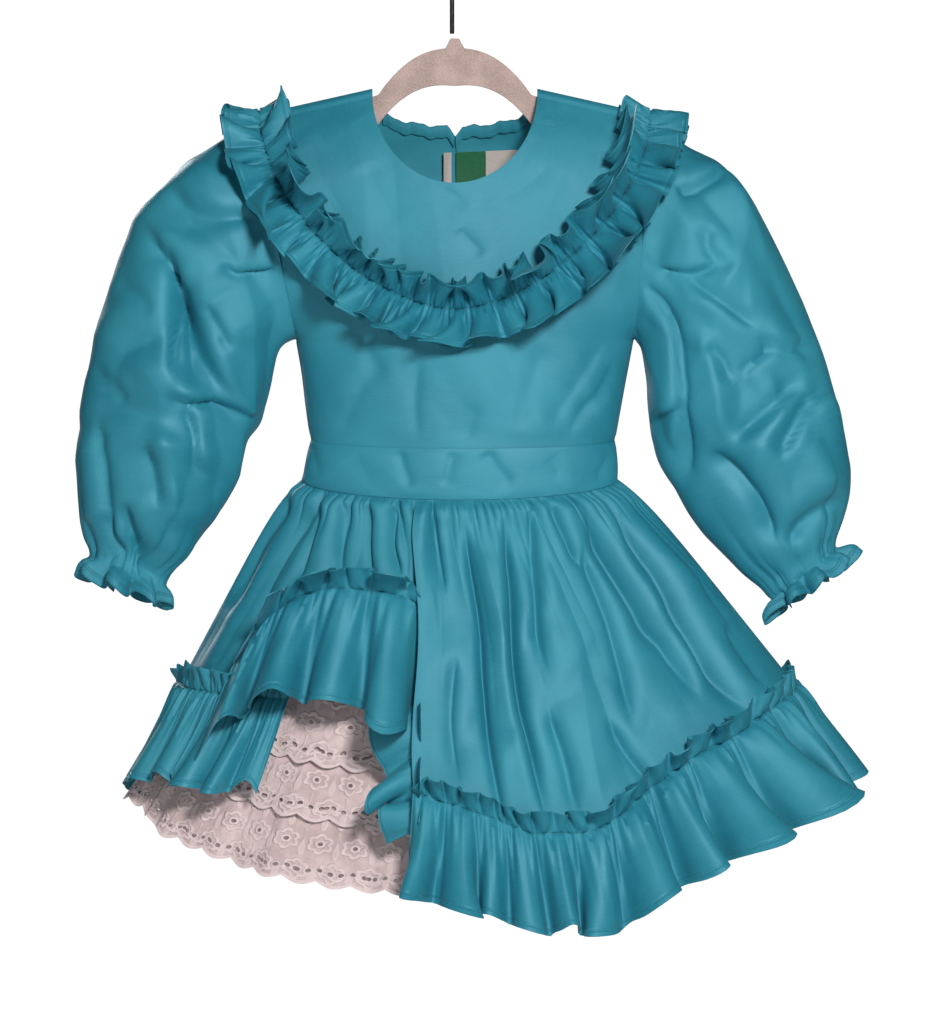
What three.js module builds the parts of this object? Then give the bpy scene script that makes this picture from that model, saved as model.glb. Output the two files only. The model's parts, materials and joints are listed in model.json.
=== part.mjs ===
import * as THREE from "three";

// A child's pageant dress in taffeta, hanging on a flocked hanger.
// Millimetres, +Z up, the front faces -Y, and the origin is where the hook rests on a rod.
// Left and right in the names are the wearer's, so the wearer's right side is at -X.

const clothWall = 1.2;
const laceWall = 1.0;
const labelWall = 1.0;
const seamGap = 0.4; // clear space between two pieces that are sewn together
const seamHalfGap = 0.6; // from the side and shoulder seams to the middle of the cloth's edge
const layerStep = 2.4; // from one cloth's middle to the next cloth's middle where they lie together

const { sin, cos, abs, min, max, sqrt, exp, acos, PI } = Math;
const turn = 2 * PI;
const degrees = PI / 180;
const mix = (a, b, share) => a + (b - a) * share;
const clamp = (value) => min(1, max(0, value));
const ease = (value) => clamp(value) ** 2 * (3 - 2 * clamp(value));
const steps = (count) => Array.from({ length: count + 1 }, (_, i) => i / count);
const ringSteps = (count) => steps(count).slice(0, count);
const point = (x, y, z) => new THREE.Vector3(x, y, z);

// Rows of numbers as objects with named columns.
function table(columns, rows) {
  const names = columns.split(" ");
  return rows.map((row) => Object.fromEntries(names.map((name, i) => [name, row[i]])));
}

// A column's value between two rows, read along another column that rises from row to row.
function lookup(rows, along, at, column) {
  const next = rows.findIndex((row) => row[along] >= at);
  if (next === 0) return rows[0][column];
  if (next < 0) return rows.at(-1)[column];
  const [a, b] = [rows[next - 1], rows[next]];
  return mix(a[column], b[column], (at - a[along]) / (b[along] - a[along]));
}

// Hanger: a flat arched body and a wire hook.
const hanger = {
  halfLength: 138,
  thickness: 5,
  edgeRound: 1.1,
  crownZ: -86,
  archHeight: 27.4,
  armHeight: 21,
  tipHeight: 12,
  neckZ: -76,
  neckHalfWidth: 6,
  underCloth: 2.9,
  archHalfWidth: 56,
  archPower: 2.4, // how flat the arch is on top
  neckSpread: 4, // the neck's foot, beyond its top on each side
  neckRound: { across: 3, down: 5 },
  tipLength: 6, // the rounded end of each arm
  tipRound: { across: 1.5, up: 4 },
};
const hook = { wire: 3.4, bend: 19, opening: 62 * degrees, fillet: 8 };

// Neck and shoulders. The two shoulder seams fall away from the neck in straight lines.
const neck = { centreX: 2, halfWidth: 59.5, z: -118, frontDrop: 66, backDrop: 24, backSquare: 0.7 };
const shoulderSlope = 0.225;
const notch = { depth: 6, halfWidth: 5.6 };
const shoulderZ = (x) => neck.z - shoulderSlope * (abs(x - neck.centreX) - neck.halfWidth);

// Armholes and sides of the bodice: the x of each side at the heights that shape it.
const underarmZ = -296;
const shoulderTipX = { [-1]: -145, [1]: 146 };
const tipZ = shoulderZ(shoulderTipX[1]);
const sideLine = table("z wearerRight wearerLeft", [
  [-397, -108, 119],
  [-369, -101.5, 117],
  [underarmZ, -112, 131],
]);
const capDepth = 4.2; // half depth where the cloth turns over the hanger's arm
const capHeight = 3;
const bodyDepth = 46; // half depth of the chest and waist
const swellReach = 50; // how soon the chest fills out below the shoulder

// Waistband, from its upper seam to its lower seam. Both sag a little towards the middle.
const band = { topZ: -369, topSag: 6.5, lowZ: -396.5, lowSag: 15.5, backSag: 0.5 };

// Collar: its outer edge is a rounded curve, over which the gathered double ruffle is stitched.
const collar = { halfWidth: 141, frontDrop: 139, backDrop: 118, roundness: 1.2 };
const collarRuffle = {
  heading: 23,
  frill: 25,
  headingWave: 4.6,
  frillWave: 5.4,
  frontWaves: 25,
  backWaves: 10,
  bottomLift: 0.2, // more than the collar's own layer, under the stitching
  shoulderReach: 34, // how far from the shoulder seam the ruffle turns from upright to flat
  overSleeve: { atShoulder: 7, below: 2.8 }, // how far the frill stands off over the sleeve's head
};

// Sleeves, a row for each section from the head to the frill's edge: the section's outer and inner
// ends in the front view, its half depth and the height of its gathers.
const sleeveWaves = 8;
const sleeveSections = {
  [-1]: table("outX outZ inX inZ deep wave", [
    [-170, -154, -121, -300, 34, 1.6],
    [-198, -174, -126, -306, 39, 1.4],
    [-221, -197, -129, -317, 42, 0.8],
    [-238, -231, -132, -333, 43, 0.4],
    [-253, -279, -136, -350, 42, 0.4],
    [-264, -326, -145, -370, 40, 0.4],
    [-269, -369, -156, -397, 37, 0.4],
    [-271, -405, -170, -425, 32, 0.8],
    [-268, -434, -186, -447, 24, 1.6],
    [-262, -450, -204, -470, 15, 1.2],
    [-265, -458, -204, -481, 17, 2.6],
    [-268, -467, -204, -490, 19, 4.2],
  ]),
  [1]: table("outX outZ inX inZ deep wave", [
    [170, -157, 136, -303, 34, 1.6],
    [194, -171, 139, -316, 39, 1.4],
    [213, -190, 141, -329, 42, 0.8],
    [229, -218, 142, -347, 43, 0.4],
    [250, -265, 145, -368, 42, 0.4],
    [270, -311, 151, -388, 40, 0.4],
    [282, -358, 164, -410, 37, 0.4],
    [287, -398, 183, -437, 32, 0.8],
    [284, -423, 205, -463, 24, 1.6],
    [277, -444, 227, -482, 15, 1.2],
    [283, -450, 229, -489, 17, 2.6],
    [290, -456, 232, -496, 19, 4.2],
  ]),
};
// Long soft folds of the sleeves: where each crosses the section (0 outside, 90 in front, 180 inside,
// 270 behind) at its upper and lower end, between which sections it runs, and its height.
const sleeveFolds = table("topAngle lowAngle from to spread height", [
  [60, 100, 1, 6, 15, 4],
  [112, 138, 1, 5, 13, -3.5],
  [95, 60, 4, 9, 13, 3.5],
  [140, 118, 5, 10, 12, 3],
  [250, 290, 1, 6, 15, 4],
  [300, 262, 4, 9, 14, 3.5],
]);

// Skirt: a gathered cone that leans out more to the wearer's left, and drops to its ruffle's stitching.
const skirt = {
  centreX: 5.4,
  halfWidth: 113,
  sideFlare: 0.665,
  flareLean: 0.135,
  depthFlare: 0.27,
  puff: 10,
  puffReach: 15,
  foldTop: 1.0,
  foldLow: 4.5,
  foldDrop: 150, // by which the folds have reached their full depth
  seamClear: 0.7, // below the waistband
  hemOverlap: 2, // how far the skirt goes on under the hem ruffle's stitching
  spacing: 0.186, // warps shares of the way round, so that folds are as wide at the sides as in front
};
// Angles run round the skirt from 0 at the wearer's left side through 90 at the front.
const frontDrops = table("angle drop", [
  [0, 144],
  [12, 150],
  [26, 158],
  [41, 176],
  [51, 188],
  [60, 208],
  [67, 228],
  [72, 239],
  [79, 239],
  [85, 228],
  [90, 220],
  [98, 208],
]);
const archDrops = table("angle drop", [
  [95, 80],
  [103, 72],
  [111, 66],
  [121, 66],
  [128, 70],
  [134, 81],
  [139, 97],
  [143, 126],
  [146, 145],
  [156, 146],
  [180, 146],
]);
const backDrops = table("angle drop", [
  [180, 146],
  [225, 168],
  [270, 176],
  [315, 168],
  [360, 144],
]);
// Beside the arch the skirt's front folds back under itself. The arch's side of the skirt starts edge
// to edge with that fold at the waist, and lower down it reaches in under the fold.
const foldEdgeX = -26;
const tuckTopX = foldEdgeX - 1.2;
const tuckX = -15;
const tuckDepth = 4;
const tuckDrop = 45; // by which the arch's side has reached in under the fold
const foldRise = 3;
const foldDrop = 12; // by which the two edges have parted
const hemRuffle = { heading: 14, frill: 74, headingWave: 3.6, frillWave: 8, flare: 0.07, clear: 3.0 };

// Petticoat: three lace tiers on one slimmer cone, each stitched under the one above it. A row is one
// ring of a tier: its share of the way down, how far it stands off the cone, and its wave.
const petticoat = {
  topInset: 3,
  centreShift: -15,
  halfWidth: 217,
  depth: 78,
  sideZ: -620,
  frontSag: 76,
  sagRound: 0.02,
  seamClear: 1.9, // below the waistband
};
const petticoatWaves = 12;
const petticoatTiers = {
  petticoat_upper: table("down off wave", [
    [0, 0, 0],
    [0.33, 0, 1],
    [0.63, 2, 0.5],
    [0.7, 5, 2.6],
  ]),
  petticoat_middle: table("down off wave", [
    [0.63, 0.3, 0.5],
    [0.72, 2.2, 1.2],
    [0.84, 6, 3],
  ]),
  petticoat_lower: table("down off wave", [
    [0.785, 2.1, 1.9],
    [0.88, 3.4, 2.4],
    [1, 7, 3.6],
  ]),
};

// Labels at the back of the neck, flat on the inside of the cloth, all bare.
const label = { topZ: -160, lowZ: -183, inset: 2.35 };

const paint = {
  taffeta: { color: 0x3b8a98, roughness: 0.42 },
  taffetaTrim: { color: 0x40919f, roughness: 0.42 },
  lace: { color: 0xd2b5b7, roughness: 0.85 },
  flock: { color: 0xbda6a0, roughness: 0.95 },
  wire: { color: 0x17171a, roughness: 0.35, metalness: 0.8 },
  greenLabel: { color: 0x0c613c, roughness: 0.6 },
  whiteLabel: { color: 0xbab1ad, roughness: 0.7 },
};

const dress = new THREE.Group();

function add(name, geometry, finish) {
  const mesh = new THREE.Mesh(geometry, new THREE.MeshStandardMaterial(finish));
  mesh.name = name;
  dress.add(mesh);
}

// A closed wall of cloth about a middle surface. Its grid has a column for each u and a row for each v,
// and a tube's last column joins its first. Both faces of the wall split each quad along the same
// diagonal, so they keep their distance where the cloth is waved: it falls to the next row's next
// column, or rises from there.
function wallGeometry(us, vs, surface, options = {}) {
  const { tube = false, wall = clothWall, falls = () => true } = options;
  const wide = us.length;
  const tall = vs.length;
  const grid = vs.map((v) => us.map((u) => surface(u, v)));
  const wrap = (c) => (tube ? (c + wide) % wide : min(wide - 1, max(0, c)));
  const at = (r, c) => grid[min(tall - 1, max(0, r))][wrap(c)];
  const vertices = [];
  for (const side of [1, -1]) {
    for (let r = 0; r < tall; r++) {
      for (let c = 0; c < wide; c++) {
        const along = at(r, c + 1).clone().sub(at(r, c - 1));
        const down = at(r + 1, c).clone().sub(at(r - 1, c));
        const out = along.cross(down).normalize();
        vertices.push(...at(r, c).clone().addScaledVector(out, (side * wall) / 2).toArray());
      }
    }
  }
  const back = wide * tall;
  const id = (r, c) => r * wide + wrap(c);
  const faces = [];
  const quad = (a, b, c, d) => faces.push([a, b, c], [a, c, d]);
  const columns = tube ? wide : wide - 1;
  for (let col = 0; col < columns; col++) {
    for (let r = 0; r < tall - 1; r++) {
      const [a, b, c, d] = [id(r, col), id(r, col + 1), id(r + 1, col + 1), id(r + 1, col)];
      if (falls(us[col])) {
        quad(a, b, c, d);
        quad(a + back, d + back, c + back, b + back);
      } else {
        quad(b, c, d, a);
        quad(b + back, a + back, d + back, c + back);
      }
    }
    quad(id(0, col + 1), id(0, col), id(0, col) + back, id(0, col + 1) + back);
    const last = tall - 1;
    quad(id(last, col), id(last, col + 1), id(last, col + 1) + back, id(last, col) + back);
  }
  if (!tube) {
    for (let r = 0; r < tall - 1; r++) {
      quad(id(r, 0), id(r + 1, 0), id(r + 1, 0) + back, id(r, 0) + back);
      const edge = wide - 1;
      quad(id(r + 1, edge), id(r, edge), id(r, edge) + back, id(r + 1, edge) + back);
    }
  }
  return new THREE.BufferGeometry()
    .setAttribute("position", new THREE.Float32BufferAttribute(vertices, 3))
    .setIndex(faces.flat());
}

// Parameters from start to end that split a curve into stretches of equal length.
function evenly(curve, start, end, count) {
  const fine = steps(count * 8).map((share) => mix(start, end, share));
  const lengths = [0];
  for (let i = 1; i < fine.length; i++) {
    lengths.push(lengths[i - 1] + curve(fine[i]).distanceTo(curve(fine[i - 1])));
  }
  const rows = fine.map((at, i) => ({ at, length: lengths[i] }));
  return steps(count).map((share) => lookup(rows, "length", share * lengths.at(-1), "at"));
}

// Hanger

function hangerBody() {
  const archTop = (x) => {
    const share = min(1, abs(x) / hanger.archHalfWidth);
    const armTop = neck.z - hanger.underCloth;
    const past = max(0, abs(x) - neck.halfWidth);
    return mix(hanger.crownZ, armTop, share ** hanger.archPower) - shoulderSlope * past;
  };
  const archLow = (x) => {
    const share = min(1, abs(x) / neck.halfWidth);
    const past = max(0, abs(x) - neck.halfWidth) / (hanger.halfLength - neck.halfWidth);
    const height = mix(mix(hanger.archHeight, hanger.armHeight, share), hanger.tipHeight, past);
    return archTop(x) - height;
  };
  const { halfLength: end, tipLength, tipRound, neckRound, edgeRound: inset } = hanger;
  const tipMiddle = archTop(end) - hanger.tipHeight / 2;
  const outline = [];
  for (const share of steps(12)) {
    const x = mix(-end + tipLength, -hanger.neckHalfWidth - hanger.neckSpread, share);
    outline.push([x, archTop(x)]);
  }
  outline.push([-hanger.neckHalfWidth, hanger.neckZ - neckRound.down]);
  outline.push([-hanger.neckHalfWidth + neckRound.across, hanger.neckZ]);
  outline.push(...outline.map(([x, z]) => [-x, z]).reverse());
  const tipX = end - tipRound.across;
  outline.push([tipX, tipMiddle + tipRound.up], [end, tipMiddle], [tipX, tipMiddle - tipRound.up]);
  for (const share of steps(20)) {
    const x = mix(end - tipLength, tipLength - end, share);
    outline.push([x, archLow(x)]);
  }
  outline.push([-tipX, tipMiddle - tipRound.up], [-end, tipMiddle], [-tipX, tipMiddle + tipRound.up]);
  const shape = new THREE.Shape(outline.map(([x, z]) => new THREE.Vector2(x, z)));
  const body = new THREE.ExtrudeGeometry(shape, {
    depth: hanger.thickness - 2 * inset,
    bevelEnabled: true,
    bevelThickness: inset,
    bevelSize: inset,
    bevelOffset: -inset,
    bevelSegments: 1,
  });
  body.translate(neck.centreX, 0, 0);
  body.rotateX(PI / 2);
  body.translate(0, hanger.thickness / 2 - inset, 0);
  return body;
}

function hangerHook() {
  const radius = hook.bend + hook.wire / 2;
  const centreZ = -hook.bend;
  const route = new THREE.CurvePath();
  const foot = hanger.neckZ + 0.3;
  const turnIn = centreZ - sqrt((radius + hook.fillet) ** 2 - hook.fillet ** 2);
  const meet = acos(hook.fillet / (radius + hook.fillet));
  const points = [point(0, 0, foot), point(0, 0, mix(foot, turnIn, 0.5)), point(0, 0, turnIn)];
  for (const share of steps(4).slice(1)) {
    const swing = share * meet;
    points.push(point(hook.fillet * (1 - cos(swing)), 0, turnIn + hook.fillet * sin(swing)));
  }
  const from = -meet;
  const to = PI + hook.opening - PI / 3;
  for (const share of steps(16).slice(1)) {
    const swing = mix(from, to, share);
    points.push(point(radius * cos(swing), 0, centreZ + radius * sin(swing)));
  }
  route.add(new THREE.CatmullRomCurve3(points));
  const ring = new THREE.Shape();
  ring.absarc(0, 0, hook.wire / 2, 0, turn);
  const wire = { steps: 32, curveSegments: 4, bevelEnabled: false, extrudePath: route };
  return new THREE.ExtrudeGeometry(ring, wire);
}

// Bodice

function sideX(side, z) {
  if (z < underarmZ) return lookup(sideLine, "z", z, side < 0 ? "wearerRight" : "wearerLeft");
  const under = lookup(sideLine, "z", underarmZ, side < 0 ? "wearerRight" : "wearerLeft");
  return mix(under, shoulderTipX[side], (z - underarmZ) / (tipZ - underarmZ));
}

const middleX = (z) => (sideX(-1, z) + sideX(1, z)) / 2;

// A point of the body's front (face -1) or back (face 1), seen from the front at x and z. A lift moves
// it out by one or more layers, and over the shoulder seam as well.
function bodyPoint(face, x, z, lift = 0) {
  const below = shoulderZ(x) - z;
  const raisedZ = z + lift * (1 - clamp(below / capHeight));
  const side = x < middleX(raisedZ) ? -1 : 1;
  const openness = clamp((tipZ - raisedZ) / (tipZ - underarmZ));
  const reach = (openness * (x - middleX(raisedZ))) / (sideX(side, raisedZ) - middleX(raisedZ));
  const spread = sqrt(max(0, 1 - reach ** 2));
  const depth = shoulderZ(x) - raisedZ;
  const cap = sqrt(1 - (1 - clamp((depth + lift) / (capHeight + lift))) ** 2);
  const swell = (bodyDepth - capDepth) * (1 - exp(-max(0, depth - capHeight) / swellReach));
  const y = spread * ((capDepth + lift) * cap + swell);
  return point(x, face * max(seamHalfGap, y), raisedZ);
}

// The neckline: angle 180 at the wearer's right shoulder, 90 in the middle, 0 at the left shoulder.
function neckline(face, angle) {
  const drop = face < 0 ? neck.frontDrop * sin(angle) : neck.backDrop * sin(angle) ** neck.backSquare;
  return { x: neck.centreX + neck.halfWidth * cos(angle), z: neck.z - drop };
}

const bandTopZ = (face, angle) => band.topZ - band.topSag * sin(angle) * (face < 0 ? 1 : band.backSag);
const bandLowZ = (face, angle) => band.lowZ - band.lowSag * sin(angle) * (face < 0 ? 1 : band.backSag);

// Bodice panels run from the waist up to an edge of armhole, shoulder, neck, shoulder and armhole.
// The columns are numbered along that edge.
const edge = { armhole: 8, shoulder: 12, neck: 22, end: 34 };
const armholeSpacing = 1.1; // above 1, the columns are closer together under the arm
const bodiceLow = 0.6; // how far above the waistband the bodice ends

function bodiceTop(face, column) {
  const mirrored = column > edge.end / 2 ? edge.end - column : column;
  const side = column > edge.end / 2 ? 1 : -1;
  if (mirrored <= edge.armhole) {
    const z = mix(underarmZ, tipZ, (mirrored / edge.armhole) ** armholeSpacing);
    return { x: sideX(side, z), z };
  }
  if (mirrored <= edge.shoulder) {
    const share = (mirrored - edge.armhole) / (edge.shoulder - edge.armhole);
    const x = mix(shoulderTipX[side], neck.centreX + side * neck.halfWidth, share);
    return { x, z: shoulderZ(x) };
  }
  return neckline(face, PI * (1 - (column - edge.shoulder) / (edge.neck - edge.shoulder)));
}

function bodicePoint(face, column, up, side = 0) {
  const angle = PI * (1 - column / edge.end);
  const half = column > edge.end / 2 ? 1 : -1;
  const top = bodiceTop(face, column);
  const topReach = (top.x - middleX(top.z)) / (sideX(half, top.z) - middleX(top.z));
  const middle = column === edge.end / 2;
  if (middle && face > 0) top.z -= notch.depth;
  const z = mix(bandTopZ(face, angle) + bodiceLow, top.z, up);
  const reach = mix(abs(cos(angle)), topReach, up);
  const x = mix(middleX(z), sideX(half, z), reach);
  return bodyPoint(face, x + (middle ? (side * seamGap) / 2 : 0), z);
}

const bodiceRows = [0, 0.3, 0.6, 0.83, 0.95, 0.986, 1];
const bodiceSplit = { falls: (column) => column >= edge.end / 2 };

function bodiceFront() {
  const columns = steps(edge.end).map((share) => share * edge.end);
  return wallGeometry(columns, bodiceRows, (column, up) => bodicePoint(-1, column, up), bodiceSplit);
}

// The columns of one half of the back, with one more beside the small notch at the neck.
function backColumns(side) {
  const half = edge.end / 2;
  const spread = notch.halfWidth / neck.halfWidth;
  const besideNotch = half - ((edge.neck - edge.shoulder) * Math.asin(spread)) / PI;
  const columns = [...steps(half - 1).map((share) => share * (half - 1)), besideNotch, half];
  return side < 0 ? columns : columns.map((column) => edge.end - column).reverse();
}

function bodiceBack(side) {
  const surface = (column, up) => bodicePoint(1, column, up, side);
  return wallGeometry(backColumns(side), bodiceRows, surface, bodiceSplit);
}

// A narrow binding inside the back of the neck.
const binding = { depth: 8, inset: 2.1, fromEdge: 0.6 };

function neckBinding(side) {
  const inside = (column) => column > edge.shoulder + 1 && column < edge.neck - 1;
  return wallGeometry(backColumns(side).filter(inside), [0, 1], (column, down) => {
    const top = bodicePoint(1, column, 1, side);
    const z = top.z - binding.fromEdge - binding.depth * down;
    const under = bodyPoint(1, top.x, z);
    return point(under.x, under.y - binding.inset, z);
  });
}

function neckLabel(fromX, toX, curl) {
  return wallGeometry(
    steps(3),
    steps(2),
    (across, down) => {
      const x = mix(fromX, toX, across);
      const z = mix(label.topZ, label.lowZ, down);
      const under = bodyPoint(1, x, z);
      return point(x, under.y - label.inset - curl * (1 - across) ** 2, z);
    },
    { wall: labelWall },
  );
}

// Collar and its ruffle

function collarEdge(face, angle) {
  const drop = face < 0 ? collar.frontDrop : collar.backDrop;
  const across = abs(cos(angle)) ** collar.roundness * Math.sign(cos(angle));
  const seamZ = shoulderZ(neck.centreX + collar.halfWidth);
  return {
    x: neck.centreX + collar.halfWidth * across,
    z: seamZ - drop * max(0, sin(angle)) ** collar.roundness,
  };
}

// Angles from one shoulder seam towards the other, with a close one beside the seam.
const collarAngles = [180, 177, 171, ...Array.from({ length: 17 }, (_, i) => 162 - 9 * i), 9, 3, 0];

function collarPanel(face, angles, side = 0) {
  return wallGeometry(
    angles.map((angle) => angle * degrees),
    steps(4),
    (angle, out) => {
      const inner = neckline(face, angle);
      const outer = collarEdge(face, angle);
      const middle = abs(angle - PI / 2) < 1e-6;
      if (middle && face > 0) inner.z -= notch.depth;
      const shift = middle ? (side * seamGap) / 2 : 0;
      const x = mix(inner.x, outer.x, out) + shift;
      return bodyPoint(face, x, mix(inner.z, outer.z, out), layerStep);
    },
  );
}

// The ruffle stands on its stitching: a heading towards the neck and a frill away from it, both waved.
function collarRuffleStrip(face, fromAngle, toAngle, waves) {
  const lift = layerStep * 2 + collarRuffle.bottomLift;
  const stitching = (angle) => {
    const { x, z } = collarEdge(face, angle);
    return bodyPoint(face, x, z, lift);
  };
  const stations = evenly(stitching, fromAngle * degrees, toAngle * degrees, waves * 4);
  const nudge = 0.01;
  return wallGeometry(stations, [-1, 0, 1], (angle, across) => {
    const place = stitching(angle);
    const blend = ease(abs(place.y) / collarRuffle.shoulderReach);
    const { x, z } = collarEdge(face, angle);
    const here = bodyPoint(face, x, z, lift);
    const beside = bodyPoint(face, x + 1, z, lift).sub(here);
    const under = bodyPoint(face, x, z - 1, lift).sub(here);
    const surfaceOut = beside.cross(under).normalize();
    if (surfaceOut.y * face < 0) surfaceOut.negate();
    const upOut = point(shoulderSlope * Math.sign(cos(angle)), 0, 1).normalize();
    const out = upOut.lerp(surfaceOut, blend).normalize();
    const ahead = stitching(max(0, angle - nudge));
    const past = ahead.sub(stitching(min(PI, angle + nudge))).normalize();
    const straight = point(0, face * Math.sign(cos(angle)) * -1, 0);
    const along = straight.lerp(past, blend).normalize();
    const away = along.clone().cross(out).normalize().multiplyScalar(-face);
    const station = stations.indexOf(angle);
    const wave = cos((station / 4) * turn);
    const unevenness = 1 + 0.18 * sin(station * 1.9) + 0.12 * sin(station * 0.7);
    const width = across < 0 ? collarRuffle.heading : collarRuffle.frill;
    const height = across < 0 ? collarRuffle.headingWave : collarRuffle.frillWave;
    const rise = abs(across) * height * unevenness;
    const { atShoulder, below } = collarRuffle.overSleeve;
    const offset = rise * (1.15 + wave) + max(0, across) * mix(atShoulder, below, blend);
    const reach = across * width * (1 - 0.06 * wave);
    return place.addScaledVector(away, reach).addScaledVector(out, offset);
  });
}

// Sleeves

// The gap between a sleeve and its armhole, which widens under the arm.
const sleeveClear = { top: 0.75, under: 1.7 };

function sleeveFold(angle, section) {
  const height = sleeveFolds.map((fold) => {
    const run = (section - fold.from) / (fold.to - fold.from);
    if (run <= 0 || run >= 1) return 0;
    const middle = mix(fold.topAngle, fold.lowAngle, run);
    const off = (angle / degrees - middle) / fold.spread;
    return fold.height * sin(PI * run) * exp(-(off ** 2));
  });
  return height.reduce((sum, value) => sum + value, 0);
}

function sleeve(side) {
  const sections = sleeveSections[side];
  return wallGeometry(
    ringSteps(sleeveWaves * 4),
    steps(sections.length),
    (share, down) => {
      const angle = share * turn;
      const section = Math.round(down * sections.length);
      if (section === 0) {
        const z = mix(tipZ, underarmZ, (1 - cos(angle)) / 2);
        const face = sin(angle) >= 0 ? -1 : 1;
        const seam = bodyPoint(face, sideX(side, z), z);
        const clear = mix(sleeveClear.top, sleeveClear.under, ((1 - cos(angle)) / 2) ** 2);
        return point(seam.x + side * clear, seam.y * ease(abs(sin(angle)) * 8), seam.z);
      }
      const row = sections[section - 1];
      const middle = point((row.outX + row.inX) / 2, 0, (row.outZ + row.inZ) / 2);
      const across = point((row.outX - row.inX) / 2, 0, (row.outZ - row.inZ) / 2);
      const half = across.length();
      const bulge = row.wave * cos(sleeveWaves * angle) + sleeveFold(angle, section);
      return middle
        .addScaledVector(across, cos(angle) * (1 + bulge / half))
        .add(point(0, -sin(angle) * (row.deep + bulge), 0));
    },
    { tube: true },
  );
}

// Waistband

function waistband(face, fromAngle, toAngle, columns, side = 0) {
  return wallGeometry(
    steps(columns).map((share) => mix(fromAngle, toAngle, share) * degrees),
    [0, 1],
    (angle, down) => {
      const z = mix(bandTopZ(face, angle), bandLowZ(face, angle), down);
      const halfWidth = (sideX(1, z) - sideX(-1, z)) / 2;
      const shift = abs(angle - PI / 2) < 1e-6 ? (side * seamGap) / 2 : 0;
      const x = middleX(z) + halfWidth * cos(angle) + shift;
      return point(x, face * max(seamHalfGap, bodyDepth * sin(angle)), z);
    },
  );
}

// Skirt

const skirtHalfWidth = (angle, drop) =>
  skirt.halfWidth +
  (skirt.sideFlare + skirt.flareLean * cos(angle)) * drop +
  skirt.puff * (1 - exp(-drop / skirt.puffReach));

function skirtPoint(angle, drop, lift) {
  const face = sin(angle) >= 0 ? -1 : 1;
  const puff = skirt.puff * (1 - exp(-drop / skirt.puffReach));
  const depth = bodyDepth + skirt.depthFlare * drop + puff * 0.5 + lift;
  const x = skirt.centreX + (skirtHalfWidth(angle, drop) + lift) * cos(angle);
  const top = bandLowZ(face, abs(sin(angle)) > 0 ? Math.asin(abs(sin(angle))) : 0);
  return point(x, -depth * sin(angle), top - skirt.seamClear - drop);
}

// The angle at which the skirt passes a given x in front.
function angleAtX(x, drop) {
  const reach = skirtHalfWidth(97 * degrees, drop);
  return acos((x - skirt.centreX) / reach);
}

// Each panel of the skirt: the angles of its two edges at a drop, its hem, its folds and how far it
// stands off at its first or last edge.
const sideSeam = 0.3 * degrees;
const panels = {
  front: {
    start: () => sideSeam,
    end: (drop) => angleAtX(foldEdgeX, drop),
    drops: frontDrops,
    folds: 10,
    lift: (u, drop) => foldRise * ease((u - 0.85) / 0.15) * ease(drop / foldDrop),
  },
  arch: {
    start: (drop) => angleAtX(mix(tuckTopX, tuckX, ease(drop / tuckDrop)), drop),
    end: () => PI - sideSeam,
    drops: archDrops,
    folds: 5,
    lift: (u, drop) => -tuckDepth * (1 - ease(u / 0.25)) * ease(drop / foldDrop),
  },
  back: {
    start: () => PI + sideSeam,
    end: () => turn - sideSeam,
    drops: backDrops,
    folds: 12,
    lift: () => 0,
  },
};

// The angle of a share of the way across a panel, found by putting the warp's own result back into it.
function panelAngle(panel, u, drop) {
  const warp = (angle) => angle - skirt.spacing * sin(2 * angle);
  const target = mix(warp(panel.start(drop)), warp(panel.end(drop)), u);
  let angle = target;
  for (let i = 0; i < 12; i++) angle = target + skirt.spacing * sin(2 * angle);
  return angle;
}

function hemDrop(panel, u) {
  const guess = lookup(panel.drops, "angle", panelAngle(panel, u, skirt.foldDrop) / degrees, "drop");
  return lookup(panel.drops, "angle", panelAngle(panel, u, guess) / degrees, "drop");
}

function panelPoint(panel, u, drop, lift = 0) {
  const down = clamp(drop / skirt.foldDrop);
  const height = mix(skirt.foldTop, skirt.foldLow, down) * (1 + 0.3 * sin(u * 23));
  const still = ease(u / 0.06) * ease((1 - u) / 0.06);
  const fold = height * cos(panel.folds * turn * u) * still;
  return skirtPoint(panelAngle(panel, u, drop), drop, fold + panel.lift(u, drop) + lift);
}

function skirtPanel(panel) {
  const rows = [0, 0.09, 0.3, 0.65, 1];
  return wallGeometry(steps(panel.folds * 4), rows, (u, down) =>
    panelPoint(panel, u, down * (hemDrop(panel, u) + skirt.hemOverlap)),
  );
}

// A ruffle on the skirt's hem: a small heading above its stitching and a deep frill below it.
function hemRuffleStrip(panel, fromU, toU, waves, options = {}) {
  const { drop = (u) => hemDrop(panel, u), lift = () => 0, calm = () => 1 } = options;
  const stitching = (u) => panelPoint(panel, u, drop(u), hemRuffle.clear + lift(u));
  const stations = evenly(stitching, fromU, toU, waves * 4);
  return wallGeometry(stations, [-1, 0, 1], (u, across) => {
    const place = stitching(u);
    const onward = panelPoint(panel, u + 0.002, drop(u)).sub(panelPoint(panel, u - 0.002, drop(u)));
    const angle = panelAngle(panel, u, drop(u));
    const slope = skirtPoint(angle, drop(u) + 5, 0).sub(skirtPoint(angle, drop(u), 0)).normalize();
    const out = onward.setZ(0).cross(slope).normalize();
    if (out.dot(point(cos(angle), -sin(angle), 0)) < 0) out.negate();
    const station = stations.indexOf(u);
    const wave = cos((station / 4) * turn);
    const unevenness = 1 + 0.2 * sin(station * 1.3) + 0.15 * sin(station * 0.45);
    const heading = across < 0;
    const height = (heading ? hemRuffle.headingWave : hemRuffle.frillWave) * unevenness * calm(u);
    const rise = abs(across) * height;
    const spread = heading ? rise * 1.1 : across * hemRuffle.frill * hemRuffle.flare;
    const length = heading ? hemRuffle.heading : hemRuffle.frill * (1 + 0.03 * wave);
    return place.addScaledVector(slope, across * length).addScaledVector(out, spread + rise * wave);
  });
}

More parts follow.
